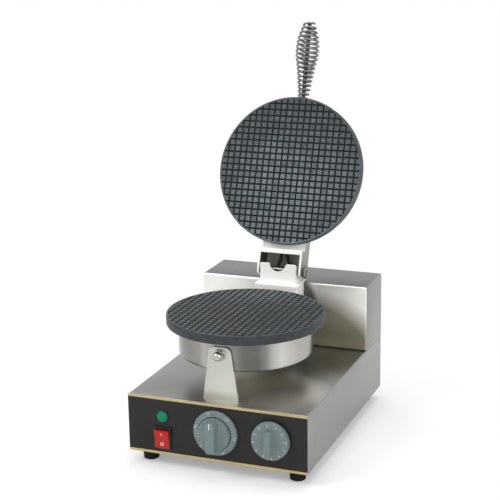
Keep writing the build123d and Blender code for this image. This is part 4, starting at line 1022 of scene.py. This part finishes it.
class CONEIRON_OT_leads(PieceOperator):
    """Sleeved heater leads of both irons"""

    bl_idname = "coneiron.leads"
    bl_label = "Leads"

    def make(self):
        sleeve = braided("woven_sleeve", linear(92, 88, 76), linear(20, 19, 17), 0.0012)
        rule = sleeve_rule("Sleeve", sleeve)
        # routes as (share of the pair's half distance, y, z)
        low, high, middle = span("lid_leads")
        behind = PIN.y + 11.0
        shape = self.pair(rule, [(0.6, behind + 9.9, high.z - 1.5), (0.6, behind + 6.3, PIN.z + 25.4),
                                 (0.55, behind + 0.3, PIN.z + 20.4), (0.9, behind, PIN.z + 10.4),
                                 (1.5, behind, PIN.z), (1.5, behind, low.z + PLAY)])
        piece = kept("lid_lead_sleeves", shape, sleeve, 60.0)
        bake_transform(piece)
        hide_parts("lid_leads")
        low, high, middle = span("lower_leads")
        start_z = 141.2
        shape = self.pair(rule, [(1, low.y + 2 * PLAY, start_z), (1, 36.0, start_z), (1, 46.0, start_z + 1.5),
                                 (1, 62.5, 168.0), (1, 70.0, 169.6), (1, 98.0, 169.4), (1, 110.0, 166.0),
                                 (1, 110.5, 150.0), (1, 110.5, low.z + PLAY)])
        added("lower_lead_sleeves", shape, sleeve, "base", "lead_sleeve", "lower_leads", angle=60.0)

    def pair(self, rule, route):
        """Two sleeves, one along the route and one along its mirror image."""
        both = bmesh.new()
        for half in (-6.5, 6.5):
            curve = smooth_route([(half * share, y, z) for share, y, z in route])
            both.from_mesh(rule.mesh(curve, Radius=2.55, Rib=0.35, Pitch=2.0))
        return both


class CONEIRON_OT_handle(PieceOperator):
    """Coiled wire handle on its core rod"""

    bl_idname = "coneiron.handle"
    bl_label = "Handle"

    def make(self):
        wire = brushed("chromed_wire", linear(118, 120, 121), bands=0.1, smudges=0.1, roughness=0.14)
        dark = brushed("rod_steel", linear(84, 84, 82), (1, 1, 8), roughness=0.35)
        widest = 17.0
        outline = ((0.0, 7.6), (0.14, 8.3), (0.23, 9.6), (0.31, 10.9), (0.40, 12.3), (0.49, 13.9),
                   (0.66, 16.8), (0.78, 16.0), (0.90, 12.6), (1.0, 8.8))
        rule = coil_rule("Coil", [(share, radius / widest) for share, radius in outline], wire)
        mesh = rule.mesh(Start=GRIP_START, Run=GRIP_END - GRIP_START, Turns=settings().coil_turns,
                         Wire=3.1, Steps=19 * 28, Widest=widest, Lean=0.12)
        mesh.transform(HANDLE)
        added("wire_grip", mesh, wire, "lid", "chromed_wire", "handle_coil", angle=60.0)
        rod = lathe([(0, -10.0), (2.9, -10.0), (2.9, GRIP_END), (2.3, GRIP_END + 0.9), (0, GRIP_END + 0.9)],
                    HANDLE, 24)
        added("core_rod", rod, dark, "lid", "chromed_wire", "handle_rod")
        collar = lathe([(2.95, 0.2), (6.3, 0.2), (6.95, 0.6), (6.95, COLLAR_T - 0.5), (6.3, COLLAR_T),
                        (2.95, COLLAR_T)], HANDLE, 6, ring=True)
        added("hexagon_collar", collar, wire, "lid", "fasteners", "handle_collar")


def knob(name, profile, half_section, reach, round_end, place, material, body, node):
    """A turned knob with a finger bar: right half of its section in (x, z), rounded at both ends."""
    shape = lathe(profile, place, 96)
    section = half_section + [(-x, z) for x, z in reversed(half_section)]
    blunt = 0.55
    ends = arc((round_end - reach, blunt), (-round_end, 1 - blunt), 0, pi / 2, 5)
    rows = [[shape.verts.new(place @ Vector((x * share, y, z))) for x, z in section]
            for y, share in ends + [(-y, share) for y, share in reversed(ends)]]
    shape.faces.new(rows[0])
    shape.faces.new(reversed(rows[-1]))
    tunnel(shape, rows[::-1])
    added(name, shape, material, body, "knob_plastic", node)


def marks(name, rule_name, lift, place, material, body, **values):
    """Printed bars round a control, this far out of the panel."""
    mesh = marks_rule(rule_name, material).mesh(Height=0.2, **values)
    mesh.transform(place @ moved(0, 0, lift))
    added(name, mesh, material, body, "knob_plastic")


def rim_text(name, words, radius, height, lift, material, place):
    """Figures set round a ring, upright at the top: (text, angle) pairs."""
    both = bmesh.new()
    for text, angle in words:
        curve = bpy.data.curves.new(name, "FONT")
        curve.body, curve.size, curve.extrude = text, height, 0.06
        curve.align_x, curve.align_y = "CENTER", "CENTER"
        mesh = evaluated(linked(name, curve))
        mesh.transform(place @ turned_by(angle - pi / 2, "Z") @ moved(0, radius, lift))
        both.from_mesh(mesh)
    added(name, both, material, "base", "knob_plastic")


def knob_finishes(plastic, print_name):
    """Grey plastic of a control and the pale print on it."""
    return (mottled(plastic, settings().knobs, 0.0011, 0.34, 0.42),
            mottled(print_name, linear(214, 220, 222), 0.001, 0.1, 0.5))


class CONEIRON_OT_thermostat(PieceOperator):
    """Thermostat knob and its graduated ring"""

    bl_idname = "coneiron.thermostat"
    bl_label = "Thermostat"

    def make(self):
        grey, white = knob_finishes("knob_grey", "print_white")
        place = on_panel("thermostat_dial")
        ring = [(4.6, 0.0), (28.9, 0.0), (29.4, 0.5), (29.4, 2.6), (28.9, 3.6), (27.9, 4.3), (26.0, 4.7),
                (22.9, 4.95), (22.7, 3.6), (20.6, 3.6), (20.4, 4.95), (4.6, 4.95)]
        added("graduated_ring", lathe(ring, place, 96, ring=True), grey, "base", "knob_plastic",
              "thermostat_dial")
        first, sweep = radians(225), radians(-290)
        marks("ring_minor_marks", "Ring marks", 4.93, place, white, "base", Count=settings().minor_marks,
              Radius=23.7, Start=first, Sweep=sweep, Length=1.3, Width=0.7)
        figures = [(str(50 * (i + 1)), first + sweep * i / 5) for i in range(6)]
        rim_text("ring_figures", figures, 26.6, 3.3, 4.66, white, place)
        z0, z1, top = 5.4, 10.2, 21.8
        knob("thermostat_grip", [(0, z0), (21.2, z0), (21.65, z0 + 0.5), (21.1, z1 - 1.0), (20.8, z1 - 0.3),
                                 (20.2, z1), (0, z1)],
             [(5.6, top), (6.3, top - 0.6), (6.6, top - 1.6), (7.4, z1 + 3.0), (8.4, z1 + 1.0), (9.8, z1),
              (9.8, z1 - 1)], 20.4, 6.0, place, grey, "thermostat", "thermostat_knob")
        mark = slab((-0.65, 11.8, top - 0.2), (0.65, 20.1, top + 0.06), place, 0.05)
        added("thermostat_pointer", mark, white, "thermostat", "knob_plastic")
        finished(brushed("shaft_steel", linear(160, 160, 158), (1, 12, 1)), "thermostat_shaft", "timer_shaft")


class CONEIRON_OT_timer(PieceOperator):
    """Flat graduated timer knob"""

    bl_idname = "coneiron.timer"
    bl_label = "Timer"

    def make(self):
        grey, white = knob_finishes("timer_grey", "timer_print")
        place = on_panel("timer_knob")
        z0, z1, top = 1.5, 8.0, 19.0
        knob("timer_grip", [(0, z0), (24.5, z0), (24.95, z0 + 0.6), (24.4, z1 - 1.5), (23.9, z1 - 0.5),
                            (23.0, z1), (0, z1)],
             [(3.2, top), (4.0, top - 0.7), (4.4, top - 2.0), (6.0, z1 + 1.0), (7.0, z1), (7.0, z1 - 1)],
             14.6, 4.0, place, grey, "timer", "timer_knob")
        marks("timer_marks", "Timer marks", z1, place, white, "timer", Count=12, Radius=21.0,
              Start=radians(97), Sweep=radians(-330), Length=3.6, Width=0.55)


class CONEIRON_OT_switch(PieceOperator):
    """Mains rocker and its frame"""

    bl_idname = "coneiron.switch"
    bl_label = "Switch"

    def make(self):
        red = mottled("rocker_red", settings().rocker, 0.0009, 0.16, 0.45, specular=0.3)
        white = mottled("rocker_print", linear(244, 226, 220), 0.001, 0.1, 0.5)
        black = mottled("switch_black", linear(24, 24, 25), 0.0009, 0.3, 0.45)
        dressed("switch_bezel", "switch_frame", black, "base", "black_plastic", 0.35)
        dressed("red_rocker", "switch_rocker", red, "rocker", "rocker_red", 0.35)
        sunk, proud = -0.25, 0.08
        signs = slab((-0.35, -2.0, sunk), (0.35, 2.0, proud), self.face(7.0), 0.05)
        lathe([(1.5, sunk), (2.2, sunk), (2.2, proud), (1.5, proud)], self.face(-6.4), 32, ring=True,
              shape=signs)
        added("rocker_signs", signs, white, "rocker", "rocker_red")

    def face(self, up):
        """Frame this far above the rocker's middle, on one of its two faces, which meet in a shallow V."""
        low, high, middle = span("switch_frame")
        lean, pivot_depth, crest_out, half_opening, clear = radians(7.0), 3.0, 2.6, 13.0, 0.4
        pivot = Vector((middle.x, FRONT_Y + pivot_depth, middle.z))
        crest = low.y - crest_out
        half = (half_opening - clear - (pivot.y - crest) * sin(lean)) / cos(lean)
        depth = crest + (half - abs(up)) * tan(lean)
        slope = lean if up > 0 else -lean
        local = moved(pivot.x, depth, pivot.z + up) @ turned_by(pi / 2 + slope, "X")
        return moved(*pivot) @ turned_by(lean, "X") @ moved(*-pivot) @ local


class CONEIRON_OT_lamp(PieceOperator):
    """Pilot lamp"""

    bl_idname = "coneiron.lamp"
    bl_label = "Pilot lamp"

    def make(self):
        black = mottled("lamp_black", linear(22, 22, 23), 0.0009, 0.3, 0.4)
        green = mottled("lens_green", settings().lens, 0.0012, 0.2, 0.5, specular=0.2)
        place = on_panel("lamp_bezel")
        rim = [(0, -17.9), (6.35, -17.9), (6.35, 0.0), (7.7, 0.0), (7.95, 0.3), (7.9, 0.8), (7.4, 1.18),
               (6.2, 1.18), (5.7, 0.7), (5.7, -6.0), (0, -6.0)]
        added("lamp_rim", lathe(rim, place, 48), black, "base", "black_plastic", "lamp_bezel")
        lens = [(0, -6.0), (5.25, -6.0), (5.25, 1.2), (7.1, 1.2)] + dome(7.1, 2.25, 1.7)
        added("lamp_dome", lathe(lens, place, 48), green, "base", "lamp_green", "lamp_lens")


class CONEIRON_OT_inside(PieceOperator):
    """Materials of the pieces inside the case and the irons, and the cord gland"""

    bl_idname = "coneiron.inside"
    bl_label = "Inner works"

    def make(self):
        both = {"heating_element": mottled("heater_grey", linear(104, 100, 94), 0.0012, 0.4, 0.6),
                "clamp_plate": brushed("clamp_steel", linear(150, 150, 148), (6, 1, 1)),
                "wool_pad": mottled("mineral_wool", linear(206, 196, 168), 0.002, 0.5, 0.95, 0.0008),
                "standoffs": brushed("pillar_steel", linear(176, 176, 172), (1, 1, 6))}
        for node, material in both.items():
            finished(material, "lower_" + node, "upper_" + node)
        finished(mottled("terminal_white", linear(214, 210, 200), 0.001, 0.15, 0.5), "terminal_block")
        movement = mottled("movement_black", linear(34, 34, 35), 0.001, 0.3, 0.5)
        finished(movement, "thermostat_body", "timer_body")
        finished(brushed("bulb_copper", linear(190, 120, 84), (8, 1, 1)), "sensing_bulb")
        black = mottled("gland_black", linear(30, 30, 31), 0.0009, 0.3, 0.5)
        low, high, middle = span("cord_gland")
        back = span("base_shell")[1].y
        depth = low.y - back
        place = facing(middle.x, back, middle.z, 1)
        shape = lathe([(4.3, depth), (7.2, depth), (7.2, 0.0), (10.2, 0.0), (10.9, 0.7), (10.9, 7.3),
                       (10.2, 8.0), (4.3, 8.0)], place, 6, ring=True)
        lathe([(4.3, 7.5), (8.0, 7.5), (8.0, 13.2), (7.6, 14.6), (6.4, 15.7), (5.4, 15.95), (4.3, 15.4)],
              place, 32, ring=True, shape=shape)
        added("gland_body", shape, black, "base", "black_plastic", "cord_gland")


class CONEIRON_OT_stage(PieceOperator):
    """Pale floor, soft studio light and the camera"""

    bl_idname = "coneiron.stage"
    bl_label = "Stage"

    def make(self):
        self.world()
        self.floor()
        self.lamp("key_light", (-1.5, -1.3, 2.0), 1.3, 30.0)
        self.lamp("fill_light", (1.9, -1.1, 1.2), 1.6, 14.0)
        self.lamp("top_light", (0.1, 0.5, 2.3), 1.6, 22.0)
        self.camera((0.6008, -1.5795, 0.6986), 95.2, radians(21.45), radians(15.01), radians(-0.90))

    def world(self):
        world = bpy.data.worlds.new("studio")
        world.use_nodes = True
        world.node_tree.nodes.clear()
        graph = Graph(world.node_tree)
        sky = settings().sky
        level = graph.rays()[1] * (1.0 - sky) + sky
        light = graph.out("ShaderNodeBackground", None, {"Color": (1, 1, 1, 1), "Strength": level})
        graph.node("ShaderNodeOutputWorld", None, {"Surface": light})
        bpy.context.scene.world = world

    def floor(self):
        """Pale floor that fades to white: near the iron for the camera, and further out in reflections."""
        finish = Finish("studio_floor", Roughness=0.8)
        cloud = finish.noise(1 / 1.5, detail=3.0)
        finish.feed("Base Color", finish.scaled((0.97, 0.97, 0.97), 0.99 + cloud * 0.02))
        reach = finish.vector("LENGTH", finish.place(), output=1)
        camera, seen = finish.rays()
        near = finish.ramp(reach, (0.2, 0.3), (0.29, 0.78), (0.44, 1.0))
        far = finish.ramp(reach, (0.42, 0.0), (0.75, 1.0))
        share = finish.math("MAXIMUM", near * camera, far * seen)
        white = finish.out("ShaderNodeEmission", None, {"Color": (1, 1, 1, 1), "Strength": 1.0})
        mixed = finish.out("ShaderNodeMixShader", None, {0: share, 1: finish.surface, 2: white})
        finish.tree.links.new(mixed.socket, finish.end.inputs["Surface"])
        half, drop = 6000.0, -0.3
        shape = bmesh.new()
        shape.faces.new([shape.verts.new((x * half, y * half, drop))
                         for x, y in ((-1, -1), (1, -1), (1, 1), (-1, 1))])
        kept("studio_floor", shape, finish.material)

    def lamp(self, name, place, size, power):
        data = bpy.data.lights.new(name, "AREA")
        data.shape, data.size, data.energy = "DISK", size, power
        lamp = linked(name, data)
        lamp.location = place
        aim = Vector((0, -0.02, 0.18)) - Vector(place)
        lamp.rotation_euler = aim.to_track_quat("-Z", "Y").to_euler()

    def camera(self, place, lens, turn, rise, roll):
        """A camera turned round the iron, raised and rolled by these angles."""
        data = bpy.data.cameras.new("studio_camera")
        data.lens, data.sensor_width, data.clip_start = lens, 36.0, 0.05
        camera = linked("studio_camera", data)
        camera.matrix_world = (moved(*place) @ turned_by(turn, "Z") @ turned_by(pi / 2 - rise, "X")
                               @ turned_by(roll, "Z"))
        bpy.context.scene.camera = camera
        bpy.context.scene.view_settings.view_transform = "Standard"


PIECES = (CONEIRON_OT_case, CONEIRON_OT_riser, CONEIRON_OT_feet, CONEIRON_OT_screws, CONEIRON_OT_plates,
          CONEIRON_OT_drums, CONEIRON_OT_support, CONEIRON_OT_hinge, CONEIRON_OT_leads, CONEIRON_OT_handle,
          CONEIRON_OT_thermostat, CONEIRON_OT_timer, CONEIRON_OT_switch, CONEIRON_OT_lamp,
          CONEIRON_OT_inside, CONEIRON_OT_stage)


class CONEIRON_PT_pieces(Panel):
    """Lists the settings and pieces of the cone iron"""

    bl_idname = "CONEIRON_PT_pieces"
    bl_label = "Waffle-cone iron"
    bl_space_type = "VIEW_3D"
    bl_region_type = "UI"
    bl_category = "Cone iron"

    def draw(self, context):
        for label in ConeIronSettings.__annotations__:
            self.layout.prop(context.scene.cone_iron, label)
        for piece in PIECES:
            self.layout.operator(piece.bl_idname)


CLASSES = (ConeIronSettings, *PIECES, CONEIRON_PT_pieces)


def register():
    for part in CLASSES:
        bpy.utils.register_class(part)
    bpy.types.Scene.cone_iron = PointerProperty(type=ConeIronSettings)


def unregister():
    del bpy.types.Scene.cone_iron
    for part in reversed(CLASSES):
        bpy.utils.unregister_class(part)


def main():
    """Registers the add-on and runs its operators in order."""
    register()
    for piece in PIECES:
        group, name = piece.bl_idname.split(".")
        getattr(getattr(bpy.ops, group), name)()


if __name__ == "__main__":
    main()
